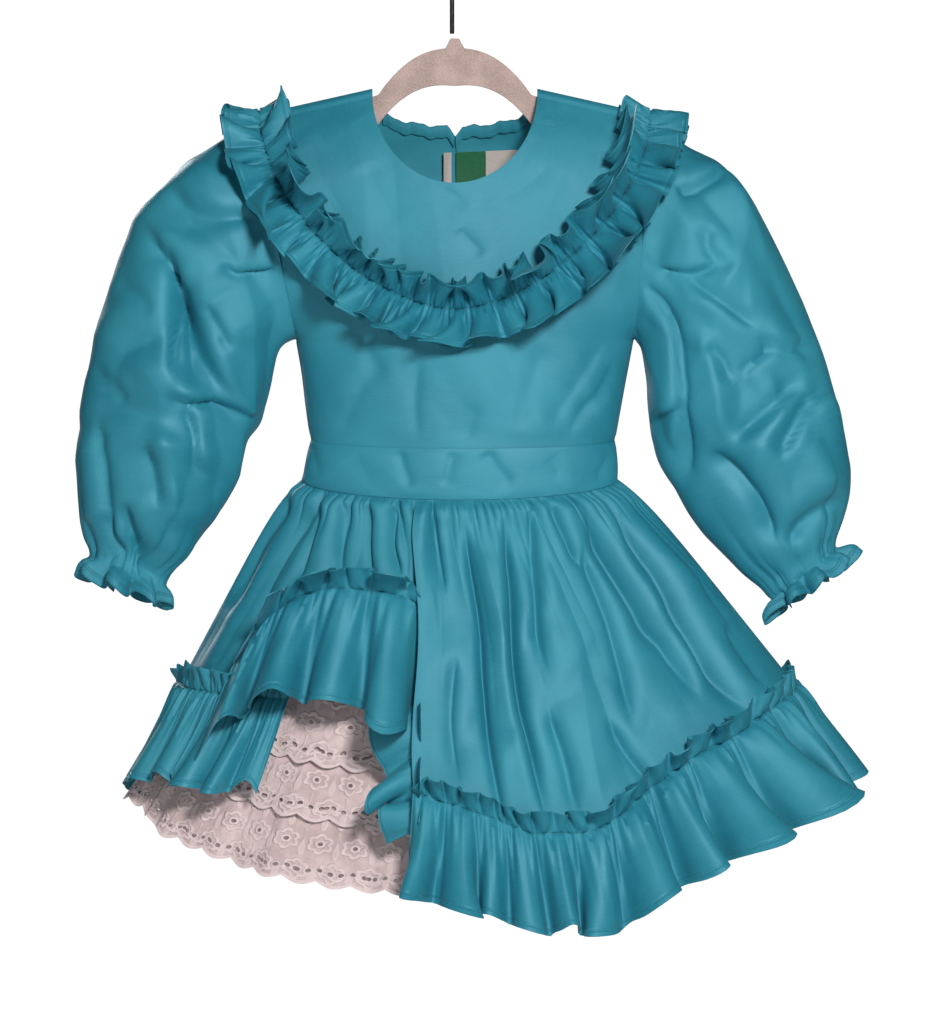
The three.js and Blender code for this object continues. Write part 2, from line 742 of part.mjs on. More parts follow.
// The share of the way across a panel at which it passes an angle.
function shareAt(panel, angle, drop) {
  let share = 0.5;
  for (let step = 0.25; step > 1e-5; step /= 2) {
    share += panelAngle(panel, share, drop) < angle ? step : -step;
  }
  return share;
}

const archLeg = 143 * degrees; // where the arch's side leg comes down to the side's hem
const sideDrop = 146;
const archClear = 9; // how far the arch's ruffle stands off by its leg
const sideBehind = 10; // how far the side's ruffle lies behind it there
const archSide = shareAt(panels.arch, archLeg, 110);
const archFold = shareAt(panels.arch, angleAtX(foldEdgeX - 2, 80), 80);
const sideHidden = shareAt(panels.arch, 128 * degrees, sideDrop);

function hemRuffleArch() {
  return hemRuffleStrip(panels.arch, archFold, archSide, 5, {
    lift: (u) => archClear * ease((u - archFold) / (archSide - archFold)),
  });
}

// The side's ruffle goes on behind the arch's ruffle, where its end shows as a hanging corner.
function hemRuffleSide() {
  const behind = (u) => ease((archSide - u) / (archSide - sideHidden) / 0.35);
  return hemRuffleStrip(panels.arch, sideHidden, 1, 7, {
    drop: () => sideDrop,
    lift: (u) => -sideBehind * behind(u),
    calm: (u) => 1 - 0.65 * behind(u + 0.06),
  });
}

// The ruffle of the arch's other leg hangs behind the fold's edge in a few deep turns.
const cascade = {
  topDrop: 146,
  lowDrop: 236,
  innerX: -24,
  reach: 28,
  turns: 2.5,
  turnDepth: 7,
  behind: 7,
  underFold: 1.9,
};

function hemRuffleCascade() {
  return wallGeometry(steps(3), steps(10), (across, down) => {
    const drop = mix(cascade.topDrop, cascade.lowDrop, down);
    const wave = cos(cascade.turns * turn * down);
    const x = cascade.innerX - cascade.reach * across * (1 + 0.25 * wave);
    const inset = (cascade.behind - cascade.turnDepth * wave) * across;
    return skirtPoint(angleAtX(x, drop), drop, foldRise - cascade.underFold - inset);
  });
}

// Petticoat

function petticoatTier(rows) {
  return wallGeometry(
    ringSteps(petticoatWaves * 4),
    rows.map((row) => row.down),
    (share, down) => {
      const row = rows.find((one) => one.down === down);
      const angle = share * turn;
      const face = sin(angle) >= 0 ? -1 : 1;
      const slant = Math.asin(min(1, abs(sin(angle))));
      const topZ = bandLowZ(face, slant) - petticoat.seamClear;
      const lowZ = petticoat.sideZ - petticoat.frontSag * (sin(angle) ** 2 + petticoat.sagRound) ** 0.6;
      const off = row.off + row.wave * cos(petticoatWaves * angle);
      const halfWidth = mix(skirt.halfWidth - petticoat.topInset, petticoat.halfWidth, down) + off;
      const depth = mix(bodyDepth - petticoat.topInset, petticoat.depth, down) + off;
      const x = skirt.centreX + petticoat.centreShift * down + halfWidth * cos(angle);
      return point(x, -depth * sin(angle), mix(topZ, lowZ, down));
    },
    { tube: true, wall: laceWall },
  );
}

// The build

add("hanger_body", hangerBody(), paint.flock);
add("hanger_hook", hangerHook(), paint.wire);

add("bodice_front", bodiceFront(), paint.taffeta);
for (const [name, side] of [["right", -1], ["left", 1]]) {
  add("bodice_back_" + name, bodiceBack(side), paint.taffeta);
  add("neck_binding_" + name, neckBinding(side), paint.taffetaTrim);
  add("sleeve_" + name, sleeve(side), paint.taffeta);
}
add("neck_label_green", neckLabel(3, 24, 0), paint.greenLabel);
add("neck_label_white", neckLabel(24.4, 48, 0), paint.whiteLabel);
add("neck_label_end", neckLabel(-6, -0.4, 3), paint.whiteLabel);

const halfOf = (angles, side) => angles.filter((angle) => (side < 0 ? angle >= 90 : angle <= 90));
add("collar_front", collarPanel(-1, collarAngles), paint.taffeta);
add("collar_back_right", collarPanel(1, halfOf(collarAngles, -1), -1), paint.taffeta);
add("collar_back_left", collarPanel(1, halfOf(collarAngles, 1), 1), paint.taffeta);
const backMiddle = 0.9; // degrees that each half of the back ruffle stops short of the middle
add("collar_ruffle_front", collarRuffleStrip(-1, 180, 0, collarRuffle.frontWaves), paint.taffetaTrim);
add(
  "collar_ruffle_back_right",
  collarRuffleStrip(1, 180, 90 + backMiddle, collarRuffle.backWaves),
  paint.taffetaTrim,
);
add(
  "collar_ruffle_back_left",
  collarRuffleStrip(1, 90 - backMiddle, 0, collarRuffle.backWaves),
  paint.taffetaTrim,
);

add("waistband_front", waistband(-1, 180, 0, 24), paint.taffeta);
add("waistband_back_right", waistband(1, 180, 90, 12, -1), paint.taffeta);
add("waistband_back_left", waistband(1, 90, 0, 12, 1), paint.taffeta);

add("skirt_front", skirtPanel(panels.front), paint.taffeta);
add("skirt_front_arch", skirtPanel(panels.arch), paint.taffeta);
add("skirt_back", skirtPanel(panels.back), paint.taffeta);

add("hem_ruffle_front", hemRuffleStrip(panels.front, 0, 1, 16), paint.taffetaTrim);
add("hem_ruffle_arch", hemRuffleArch(), paint.taffetaTrim);
add("hem_ruffle_side", hemRuffleSide(), paint.taffetaTrim);
add("hem_ruffle_cascade", hemRuffleCascade(), paint.taffetaTrim);
add("hem_ruffle_back", hemRuffleStrip(panels.back, 0, 1, 17), paint.taffetaTrim);

for (const [name, rows] of Object.entries(petticoatTiers)) {
  add(name, petticoatTier(rows), paint.lace);
}

export default dress;
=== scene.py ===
# %% [markdown]
# # A pageant dress on its hanger
# A child's party dress in teal taffeta: a plain round neck, a deep collar edged with a gathered
# double ruffle, long full sleeves, a wide waistband and a gathered skirt whose ruffled hem is
# lifted into an arch over a lace petticoat. Every cloth piece here is a thin shell that lies on
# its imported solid, and gets the folds, gathers and creases that a solid leaves out.

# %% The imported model
import json
import math
from collections import namedtuple
from functools import cache

import bpy
import numpy as np
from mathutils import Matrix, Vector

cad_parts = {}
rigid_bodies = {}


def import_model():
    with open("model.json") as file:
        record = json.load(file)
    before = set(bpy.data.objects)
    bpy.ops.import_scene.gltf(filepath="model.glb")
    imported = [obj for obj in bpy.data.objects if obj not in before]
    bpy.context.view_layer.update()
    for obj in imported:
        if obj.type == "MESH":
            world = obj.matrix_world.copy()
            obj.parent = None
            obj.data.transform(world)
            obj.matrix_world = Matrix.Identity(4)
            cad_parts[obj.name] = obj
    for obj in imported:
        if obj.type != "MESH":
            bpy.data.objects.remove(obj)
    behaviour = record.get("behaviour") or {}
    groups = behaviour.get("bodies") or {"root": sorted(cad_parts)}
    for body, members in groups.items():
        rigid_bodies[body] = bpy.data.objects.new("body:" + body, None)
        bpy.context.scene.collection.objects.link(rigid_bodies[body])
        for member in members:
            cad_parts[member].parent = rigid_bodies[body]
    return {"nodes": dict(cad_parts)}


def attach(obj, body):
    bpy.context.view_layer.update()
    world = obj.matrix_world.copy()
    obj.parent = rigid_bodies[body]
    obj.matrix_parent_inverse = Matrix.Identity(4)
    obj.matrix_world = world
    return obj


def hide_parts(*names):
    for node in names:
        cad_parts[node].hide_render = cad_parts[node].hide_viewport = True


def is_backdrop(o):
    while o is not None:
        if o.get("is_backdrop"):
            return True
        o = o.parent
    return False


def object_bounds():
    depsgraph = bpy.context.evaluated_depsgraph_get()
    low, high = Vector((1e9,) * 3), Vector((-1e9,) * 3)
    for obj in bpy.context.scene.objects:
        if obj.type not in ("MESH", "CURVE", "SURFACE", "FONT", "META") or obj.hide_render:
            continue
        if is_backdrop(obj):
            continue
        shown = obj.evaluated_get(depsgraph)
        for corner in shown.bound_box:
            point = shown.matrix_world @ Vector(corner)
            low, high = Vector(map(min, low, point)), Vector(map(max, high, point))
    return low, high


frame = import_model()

cad_low, cad_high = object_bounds()
bpy.ops.object.select_all(action="DESELECT")
print("packed nodes:", len(frame["nodes"]))

# %% [markdown]
# ## Small tools for shaping cloth
# The sizes below are the garment's own, in millimetres, and are turned into metres once, when a
# mesh is made. A surface is a grid of points, so bending, gathering and creasing are sums on
# whole arrays. That is quicker than moving vertices one at a time, and it keeps each fold a
# named size that is easy to change.

# %% Numbers on arrays
MM = 0.001
TURN = 2 * math.pi
CLOTH = 0.6  # how thick the cloth is drawn
LAYER = 2.4  # from one layer's middle to the next one's, where they lie together


def mix(a, b, share):
    return a + (b - a) * share


def clamp(value):
    return np.clip(value, 0.0, 1.0)


def ease(value):
    value = clamp(value)
    return value * value * (3 - 2 * value)


def steps(count):
    return np.linspace(0.0, 1.0, count + 1)


def stack(x, y, z):
    return np.stack(np.broadcast_arrays(x, y, z), axis=-1).astype(float)


print("half way from 2 to 6 is", mix(2, 6, 0.5), "and eased half way is", ease(0.5))


# %% Directions and curves
def unit(vectors):
    return vectors / np.maximum(np.linalg.norm(vectors, axis=-1, keepdims=True), 1e-9)


def through(places, values, at):
    """A smooth curve through (place, value) pairs, read at any places, with no overshoot."""
    places, values = np.asarray(places, float), np.asarray(values, float)
    slope = np.diff(values) / np.diff(places)
    inner = np.where(slope[1:] * slope[:-1] > 0, (slope[1:] + slope[:-1]) / 2, 0.0)
    tangent = np.concatenate([slope[:1], inner, slope[-1:]])
    at = np.clip(at, places[0], places[-1])
    i = np.clip(np.searchsorted(places, at) - 1, 0, len(places) - 2)
    width = places[i + 1] - places[i]
    s = (at - places[i]) / width
    rise = values[i + 1] - values[i]
    start, end = tangent[i] * width, tangent[i + 1] * width
    return values[i] + s * (start + s * (3 * rise - 2 * start - end + s * (start + end - 2 * rise)))


def even_stations(curve, start, end, count):
    """Parameters that split a curve into stretches of equal length."""
    fine = np.linspace(start, end, count * 6 + 1)
    points = curve(fine)
    walked = np.concatenate([[0], np.cumsum(np.linalg.norm(np.diff(points, axis=0), axis=1))])
    return np.interp(np.linspace(0, walked[-1], count + 1), walked, fine)


def normals_of(grid, tube=False):
    if tube:
        wide = np.concatenate([grid[:, -2:-1], grid, grid[:, 1:2]], axis=1)
        across = wide[:, 2:] - wide[:, :-2]
    else:
        across = np.gradient(grid, axis=1)
    return unit(np.cross(across, np.gradient(grid, axis=0)))


# %% [markdown]
# ## Creases placed one by one
# Taffeta is crisp, so its creases are long, thin and uneven: a narrow trough, and a step where the
# cloth on one side laps over the other. Each crease here is a short run of points seen from the
# front, with a depth, a width and a lip (how much it steps, and to which side).

# %% Creases
Crease = namedtuple("Crease", "depth width lip points")


def smooth_line(points, count=8):
    """A rounded line through listed points."""
    points = np.array(points, float)
    place = np.arange(len(points), dtype=float)
    at = np.linspace(0, len(points) - 1, (len(points) - 1) * count + 1)
    if len(points) == 2:
        return mix(points[0], points[1], at[:, None])
    return np.stack([through(place, points[:, k], at) for k in (0, 1)], axis=1)


def crease_height(creases, x, z):
    """How far creases push a surface out (or in, below 0) at places seen from the front."""
    total = np.zeros(np.broadcast(x, z).shape)
    here = np.stack(np.broadcast_arrays(x, z), axis=-1).astype(float)
    for crease in creases:
        line = smooth_line(crease.points)
        reach = 7 * crease.width
        low, high = line.min(axis=0) - reach, line.max(axis=0) + reach
        near = np.all((here > low) & (here < high), axis=-1)
        if not near.any():
            continue
        spots = here[near]
        start, run = line[:-1], np.diff(line, axis=0)
        length = np.linalg.norm(run, axis=1)
        offset = spots[:, None, :] - start[None]
        share = clamp((offset * run).sum(-1) / length**2)
        gap = offset - share[..., None] * run
        away = np.linalg.norm(gap, axis=-1)
        best = away.argmin(axis=1)
        pick = np.arange(len(spots))
        side = run[best, 0] * gap[pick, best, 1] - run[best, 1] * gap[pick, best, 0]
        d = np.where(side < 0, -1.0, 1.0) * away[pick, best] / crease.width
        walked = np.concatenate([[0], np.cumsum(length)])
        along = (walked[best] + share[pick, best] * length[best]) / walked[-1]
        taper = ease(along / 0.2) * ease((1 - along) / 0.25)
        narrow = 0.45 * np.exp(-(d**2)) + 0.55 * np.exp(-1.6 * abs(d))
        step = crease.lip * np.tanh(3 * d) * np.exp(-abs(d) / 2.4)
        trough = (1 - 0.4 * abs(crease.lip)) * narrow
        total[near] += crease.depth * taper * ease((7 - abs(d)) / 2) * (step - trough)
    return total


# %% Crumples and gathers
def crumple(grid, size, height, seed):
    """Large flat facets with crisp ridges between them, as stiff cloth keeps after handling."""
    random = np.random.default_rng(seed)
    total = np.zeros(grid.shape[:-1])
    for wave in range(6):
        slant, drift = unit(random.normal(size=(2, 3)))
        bend = 0.16 * np.sin(grid @ drift * TURN / (1.7 * size) + random.uniform(0, TURN))
        turns = grid @ slant / (size * random.uniform(0.7, 1.6)) + random.uniform() + bend
        zigzag = 2 * abs(turns - np.round(turns))
        strength = ease(0.5 + np.sin(grid @ drift * TURN / (2.6 * size) + random.uniform(0, TURN)))
        total += (zigzag - 0.5) * strength * random.choice([-1, 1])
    return height * total


def gathers(place, away, span, count, seed, depth=2.0, reach=30.0, width=2.0, ring=False):
    """Sharp valleys between round puffs, which run off a gathered seam and die out unevenly."""
    random = np.random.default_rng(seed)
    total = np.zeros(np.broadcast(place, away).shape)
    for k in range(count):
        spot = (k + random.uniform(0.1, 0.9)) / count * span
        run = reach * random.uniform(0.25, 1.0) ** 1.6
        off = place - spot - random.normal() * 0.02 * away
        if ring:
            off = (off + span / 2) % span - span / 2
        size = width * random.uniform(0.6, 1.4) * (1 + away / 60)
        deep = depth * random.uniform(0.35, 1.0)
        total -= deep * np.exp(-abs(off) / size) * np.exp(-((away / run) ** 1.5))
    return total


# %% [markdown]
# ## From a grid of points to a piece of cloth
# Each piece starts as a flat grid, like cloth on the cutting table. Its points are then moved to
# their places on the garment and it gets its thickness. The flat grid's UV map is kept, scaled to
# the cut's real size, so that a weave or a row of stitches follows the cloth into every fold.

# %% Making one sheet of cloth
made = []
Cut = namedtuple("Cut", "width length area")


def row_lengths(grid, axis):
    return np.linalg.norm(np.diff(grid, axis=axis), axis=-1).sum(axis=axis)


def measure(grid, long=None):
    """The size the cloth was cut to: its usual row, its longest column (or a length known from the
    pattern) and its area, in metres."""
    one = np.cross(grid[1:, 1:] - grid[:-1, :-1], grid[1:, :-1] - grid[:-1, 1:])
    area = np.linalg.norm(one, axis=-1).sum() / 2 * MM * MM
    width, length = row_lengths(grid, 1).mean() * MM, (long or row_lengths(grid, 0).max()) * MM
    width, length = max(0.01, round(width, 3)), max(0.01, round(length, 3))
    return Cut(width, length, min(area, width * length))


def cloth(name, grid, tube=False, thick=CLOTH, long=None):
    """A thin shell with the grid's shape. The grid's last row is the cloth's lower, finished edge."""
    rows, columns = grid.shape[0] - 1, grid.shape[1] - 1
    bpy.ops.object.select_all(action="DESELECT")
    bpy.ops.mesh.primitive_grid_add(x_subdivisions=columns, y_subdivisions=rows, size=2)
    piece = bpy.context.active_object
    piece.name = piece.data.name = name
    mesh = piece.data
    mesh.vertices.foreach_set("co", (grid[::-1] * MM).astype(np.float32).ravel())
    cut = measure(grid, long)
    corner = np.empty(len(mesh.loops), np.int32)
    mesh.loops.foreach_get("vertex_index", corner)
    across = (corner % (columns + 1)) / columns * cut.width
    up = (corner // (columns + 1)) / rows * cut.length
    mesh.uv_layers[0].data.foreach_set("uv", np.stack([across, up], axis=1).astype(np.float32).ravel())
    mesh.update()
    if tube:
        bpy.ops.object.mode_set(mode="EDIT")
        bpy.ops.mesh.select_all(action="SELECT")
        bpy.ops.mesh.remove_doubles(threshold=1e-6)
        bpy.ops.object.mode_set(mode="OBJECT")
    shell = piece.modifiers.new("thickness", "SOLIDIFY")
    shell.thickness = thick * MM
    shell.offset = 0
    bpy.ops.object.modifier_apply(modifier=shell.name)
    bpy.ops.object.shade_smooth_by_angle(angle=math.radians(75))
    return piece, cut


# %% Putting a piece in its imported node's place
def hang(piece, node):
    """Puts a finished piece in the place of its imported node."""
    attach(piece, "root")
    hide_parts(node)
    made.append(piece)


def sew(node, grid, held, rests_on, finish="plain", slot="taffeta", **options):
    suffix = "_lace" if slot == "lace" else "_cloth"
    piece, cut = cloth(node + suffix, grid, **options)
    hang(piece, node)
    piece.data.materials.append(finishes[finish]())
    print(f"{piece.name}: cut {cut.width * 1000:.0f} x {cut.length * 1000:.0f} mm")
    return piece


# %% [markdown]
# ## Writing a finish as sums
# A shader is a chain of small sums, and drawn as a chain of nodes it is hard to read. One small
# class wraps a node's output, so that `1 - mask` or `fine * 0.3 + coarse` adds the Math nodes by
# itself. Everything else goes through its one `node` method.

# %% A socket that can be added and multiplied
class Signal:
    def __init__(self, tree, socket=None):
        self.tree, self.socket = tree, socket

    def node(self, kind, settings=None, sockets=None, output=0):
        made_node = self.tree.nodes.new(kind)
        for key, value in (settings or {}).items():
            setattr(made_node, key, value)
        for key, value in (sockets or {}).items():
            if isinstance(value, Signal):
                self.tree.links.new(value.socket, made_node.inputs[key])
            else:
                made_node.inputs[key].default_value = value
        return Signal(self.tree, made_node.outputs[output])

    def math(self, operation, *others):
        sockets = {i: other for i, other in enumerate((self, *others))}
        return self.node("ShaderNodeMath", {"operation": operation}, sockets)

    def __add__(self, other):
        return self.math("ADD", other)

    def __mul__(self, other):
        return self.math("MULTIPLY", other)

    def __sub__(self, other):
        return self.math("SUBTRACT", other)

    def __rsub__(self, other):
        sockets = {0: other, 1: self}
        return self.node("ShaderNodeMath", {"operation": "SUBTRACT"}, sockets)

    __radd__, __rmul__ = __add__, __mul__

    def sine(self, period):
        """From -1 to 1 and back in each period."""
        return (self * (TURN / period)).math("SINE")

    def band(self, middle, half, soft):
        """1 within half of the middle, falling to 0 over a soft edge."""
        off = (self - middle).math("ABSOLUTE")
        settings = {"interpolation_type": "SMOOTHSTEP"}
        sockets = {"Value": off, "From Min": half, "From Max": half + soft, "To Min": 1.0, "To Max": 0.0}
        return self.node("ShaderNodeMapRange", settings, sockets)

    def ramp(self, low, high, to_low=0.0, to_high=1.0):
        sockets = {"Value": self, "From Min": low, "From Max": high, "To Min": to_low, "To Max": to_high}
        return self.node("ShaderNodeMapRange", {"interpolation_type": "SMOOTHSTEP"}, sockets)


# %% What every finish is wired from
def blend(start, share, first, second):
    """A colour that goes from the first to the second with the share."""
    return start.node("ShaderNodeMix", {"data_type": "RGBA"}, {0: share, 6: first, 7: second}, output=2)


def new_finish(name, **constants):
    """A material with one shader, whose unchanging values are set on its own sockets."""
    material = bpy.data.materials.new(name)
    material.use_nodes = True
    shader = material.node_tree.nodes["Principled BSDF"]
    for key, value in constants.items():
        shader.inputs[key.replace("_", " ")].default_value = value
    start = Signal(material.node_tree)
    return material, shader, start


def wire(start, shader, socket, value):
    start.tree.links.new(value.socket, shader.inputs[socket])


def noise(start, vector, scale, detail, settings=None, **sockets):
    sockets = {"Vector": vector, "Scale": scale, "Detail": detail, **sockets}
    return start.node("ShaderNodeTexNoise", settings, sockets)


def bump(start, shader, height, strength=1.0):
    """Lets a height in metres raise the surface's shading."""
    sockets = {"Strength": strength, "Distance": 1.0, "Height": height}
    wire(start, shader, "Normal", start.node("ShaderNodeBump", sockets=sockets))


def on_the_cut(start):
    """The place on the cut cloth, in metres, and its two parts across and up."""
    cut = start.node("ShaderNodeUVMap", {"uv_map": "UVMap"})
    u = start.node("ShaderNodeSeparateXYZ", sockets={0: cut})
    return cut, u, Signal(u.tree, u.socket.node.outputs[1])


# %% [markdown]
# ## Teal taffeta
# Taffeta is a plain weave of fine stiff thread, with weft threads a little thicker than the warp,
# so it has a faint crosswise rib and a soft satin shine. Its teal drifts a little between a paler
# and a deeper one, as if handled. The weave follows the UV map, which is in metres of cloth, and
# the small crumples follow the object, so that they run across seams unbroken.

# %% Taffeta, with rows of stitching at given distances from the finished edge
TEAL = (0.018, 0.241, 0.337, 1)
TEAL_PALE = (0.034, 0.297, 0.394, 1)
TEAL_DEEP = (0.009, 0.181, 0.274, 1)
RIB_PITCH = 0.0008  # drawn wider than real thread, so that the rib can be seen
STITCH_PITCH = 0.0028


@cache
def taffeta(name, stitch_rows=(), gather_rows=()):
    """Taffeta with rows of stitching, and of gathering, at distances from the finished edge."""
    sheen = {"Sheen_Weight": 0.06, "Sheen_Roughness": 0.35, "Sheen_Tint": (0.6, 0.9, 1, 1)}
    material, shader, start = new_finish(name, **sheen, IOR=1.5, Metallic=0.15)
    _, u, v = on_the_cut(start)
    place = start.node("ShaderNodeTexCoord", output="Object")

    rib = v.sine(RIB_PITCH)
    weave = rib * u.sine(RIB_PITCH) * 0.6 + rib * 0.4
    streaky = start.node("ShaderNodeCombineXYZ", sockets={0: u * 55.0, 1: v * 1500.0, 2: 0.0})
    slub = noise(start, streaky, 1.0, 1.0)
    cloudy = noise(start, place, 14.0, 3.0)
    ridged = noise(start, place, 26.0, 2.0, {"noise_type": "RIDGED_MULTIFRACTAL"}, Distortion=0.5)
    fine = noise(start, place, 95.0, 2.0)

    stitches = None
    for distance in stitch_rows:
        dash = u.sine(STITCH_PITCH).ramp(-0.55, -0.25)
        row = v.band(distance, 0.00025, 0.0003) * dash
        stitches = row if stitches is None else stitches + row
    groove = None
    for distance in (*stitch_rows, *gather_rows):
        line = v.band(distance, 0.0003, 0.0012)
        groove = line if groove is None else groove + line

    tone = blend(start, cloudy.ramp(0.36, 0.66), TEAL_DEEP, TEAL_PALE)
    body = blend(start, 0.62, tone, TEAL)
    colour = blend(start, slub.ramp(0.3, 0.75, 0.0, 0.30), body, TEAL_PALE)
    if stitches is not None:
        colour = blend(start, stitches * 0.5, colour, TEAL_PALE)
    wire(start, shader, "Base Color", colour)
    wire(start, shader, "Roughness", cloudy.ramp(0.3, 0.7, 0.50, 0.60) + slub * 0.05)

    height = weave * 0.00003 + slub * 0.00003 + ridged * 0.00042 + fine * 0.00018
    if groove is not None:
        height = height - groove * 0.0004
    if stitches is not None:
        height = height + stitches * 0.0003
    bump(start, shader, height)
    return material


finishes = {
    "plain": lambda: taffeta("taffeta_plain"),
    "collar_ruffle": lambda: taffeta("taffeta_collar_ruffle", (0.003, 0.0278, 0.050)),
    "hem_ruffle": lambda: taffeta("taffeta_hem_ruffle", (0.004, 0.072)),
    "sleeve": lambda: taffeta("taffeta_sleeve", (0.003,), (0.020, 0.025)),
}

# %% [markdown]
# ## The body's shape
# Every front and back piece follows one body surface, seen from the front by its x and z: it turns
# over the hanger at the shoulder, swells out to the chest and closes at the side seams. The collar
# and its ruffle are the same surface lifted by one layer or two, so they can never cut into it.

# %% Neck, shoulders and sides
CENTRE_X, NECK_HALF, NECK_Z = 2.0, 59.5, -118.0
FRONT_DROP, BACK_DROP, BACK_SQUARE = 66.0, 24.0, 0.7
SHOULDER_SLOPE = 0.225
UNDERARM_Z, TIP_RIGHT, TIP_LEFT = -296.0, -145.0, 146.0
CAP_DEPTH, CAP_HEIGHT, BODY_DEPTH, SWELL = 4.2, 3.0, 46.0, 50.0
NOTCH_DEPTH, NOTCH_HALF = 6.0, 5.6
BAND_TOP, BAND_TOP_DIP, WAIST_Z, WAIST_DIP = -369.0, 6.5, -396.5, 15.5
BACK_SHARE = 0.5  # the waist dips half as far at the back as in front


def shoulder_z(x):
    return NECK_Z - SHOULDER_SLOPE * (abs(x - CENTRE_X) - NECK_HALF)


TIP_Z = shoulder_z(TIP_LEFT)
print("shoulder tips at z", round(TIP_Z, 1), "mm")
SIDE_Z = (-397.0, -369.0, UNDERARM_Z, TIP_Z)
SIDE_X = {-1: (-108.0, -101.5, -112.0, TIP_RIGHT), 1: (119.0, 117.0, 131.0, TIP_LEFT)}


def side_x(side, z):
    return np.interp(z, SIDE_Z, SIDE_X[side])


def middle_x(z):
    return (side_x(-1, z) + side_x(1, z)) / 2


# %% Points of the body, and its edges
def body_point(face, x, z, lift=0.0):
    """A point of the front (face -1) or back (face 1), lifted by one or more layers."""
    raised = z + lift * (1 - clamp((shoulder_z(x) - z) / CAP_HEIGHT))
    middle = middle_x(raised)
    side = np.where(x < middle, side_x(-1, raised), side_x(1, raised))
    openness = clamp((TIP_Z - raised) / (TIP_Z - UNDERARM_Z))
    spread = np.sqrt(clamp(1 - (openness * (x - middle) / (side - middle)) ** 2))
    depth = shoulder_z(x) - raised
    cap = np.sqrt(1 - (1 - clamp((depth + lift) / (CAP_HEIGHT + lift))) ** 2)
    swell = (BODY_DEPTH - CAP_DEPTH) * (1 - np.exp(-np.maximum(0, depth - CAP_HEIGHT) / SWELL))
    y = spread * ((CAP_DEPTH + lift) * cap + swell)
    return stack(x, face * np.maximum(0.6, y), raised)


def neckline(face, angle):
    dip = clamp(np.sin(angle))
    drop = FRONT_DROP * dip if face < 0 else BACK_DROP * dip**BACK_SQUARE
    return CENTRE_X + NECK_HALF * np.cos(angle), NECK_Z - drop


def band_top(face, angle):
    return BAND_TOP - BAND_TOP_DIP * np.sin(angle) * (1.0 if face < 0 else BACK_SHARE)


def band_low(face, angle):
    return WAIST_Z - WAIST_DIP * np.sin(angle) * (1.0 if face < 0 else BACK_SHARE)


def back_dip(x):
    """How far the back's neck edge dips: a notch at the opening, and small bumps beside it."""
    off_centre = abs(x - CENTRE_X)
    notch = NOTCH_DEPTH * clamp(1 - off_centre / NOTCH_HALF)
    bumps = 0.9 * np.sin(x * 0.31) + 0.5 * np.sin(x * 0.7)
    return notch + clamp((NECK_HALF - off_centre) / 10) * bumps


def push(grid, height, tube=False, face=-1):
    """Moves a surface out along its own normals, which are turned to face out of the body."""
    out = normals_of(grid, tube)
    turned = np.sign(out[..., 1].sum()) * face
    return grid + out * (turned * height)[..., None]


# %% [markdown]
# ## Bodice
# The front and the two back halves run from the waist up to an edge of armhole, shoulder, neck,
# shoulder and armhole. The real one is cut in one flat piece with the folds falling in from the
# sides of the bust, so a few long soft creases are laid over an even surface.

# %% Bodice creases
# Where the top edge turns from armhole to shoulder, to neck and back, of 34 stretches in all.
ARMHOLE, SHOULDER, NECK, END = 8.0, 12.0, 22.0, 34.0
BODICE_CREASES = (
    Crease(1.8, 6.5, 0.3, [(-62, -285), (-58, -305), (-45, -328)]),
    Crease(2, 7.8, -0.24, [(-52, -310), (-68, -335), (-82, -368)]),
    Crease(1.7, 7.8, 0.36, [(-22, -306), (-25, -340), (-23, -372)]),
    Crease(1.5, 6.5, 0.24, [(20, -345), (14, -358), (12, -371)]),
    Crease(2.2, 10.4, 0.3, [(70, -300), (58, -330), (47, -366)]),
    Crease(1.9, 7.8, 0.3, [(112, -296), (92, -328), (68, -364)]),
    Crease(2, 6.5, -0.36, [(117, -312), (103, -336), (85, -352)]),
    Crease(1.7, 5.2, 0.3, [(115, -338), (98, -346), (84, -364)]),
    Crease(1.3, 9.1, 0.18, [(40, -292), (38, -320), (42, -350)]),
)
BACK_CREASES = (
    Crease(1.8, 7, 0.5, [(-88, -262), (-66, -300), (-58, -352)]),
    Crease(1.6, 6, -0.5, [(-40, -270), (-34, -310), (-38, -360)]),
    Crease(1.8, 8, 0.4, [(52, -266), (46, -305), (54, -362)]),
    Crease(1.6, 6, 0.5, [(98, -280), (84, -318), (88, -356)]),
)


# %% Bodice panels
def bodice_edge(face, column):
    mirrored = np.where(column > END / 2, END - column, column)
    right = column <= END / 2
    tip = np.where(right, TIP_RIGHT, TIP_LEFT)
    hole_z = mix(UNDERARM_Z, TIP_Z, clamp(mirrored / ARMHOLE) ** 1.1)
    hole_x = np.where(right, side_x(-1, hole_z), side_x(1, hole_z))
    share = (mirrored - ARMHOLE) / (SHOULDER - ARMHOLE)
    seam_x = mix(tip, CENTRE_X + np.where(right, -NECK_HALF, NECK_HALF), share)
    neck_x, neck_z = neckline(face, math.pi * (1 - (column - SHOULDER) / (NECK - SHOULDER)))
    zone = [mirrored <= ARMHOLE, mirrored <= SHOULDER]
    x = np.select(zone, [hole_x, seam_x], neck_x)
    z = np.select(zone, [hole_z, shoulder_z(seam_x)], neck_z)
    return x, z


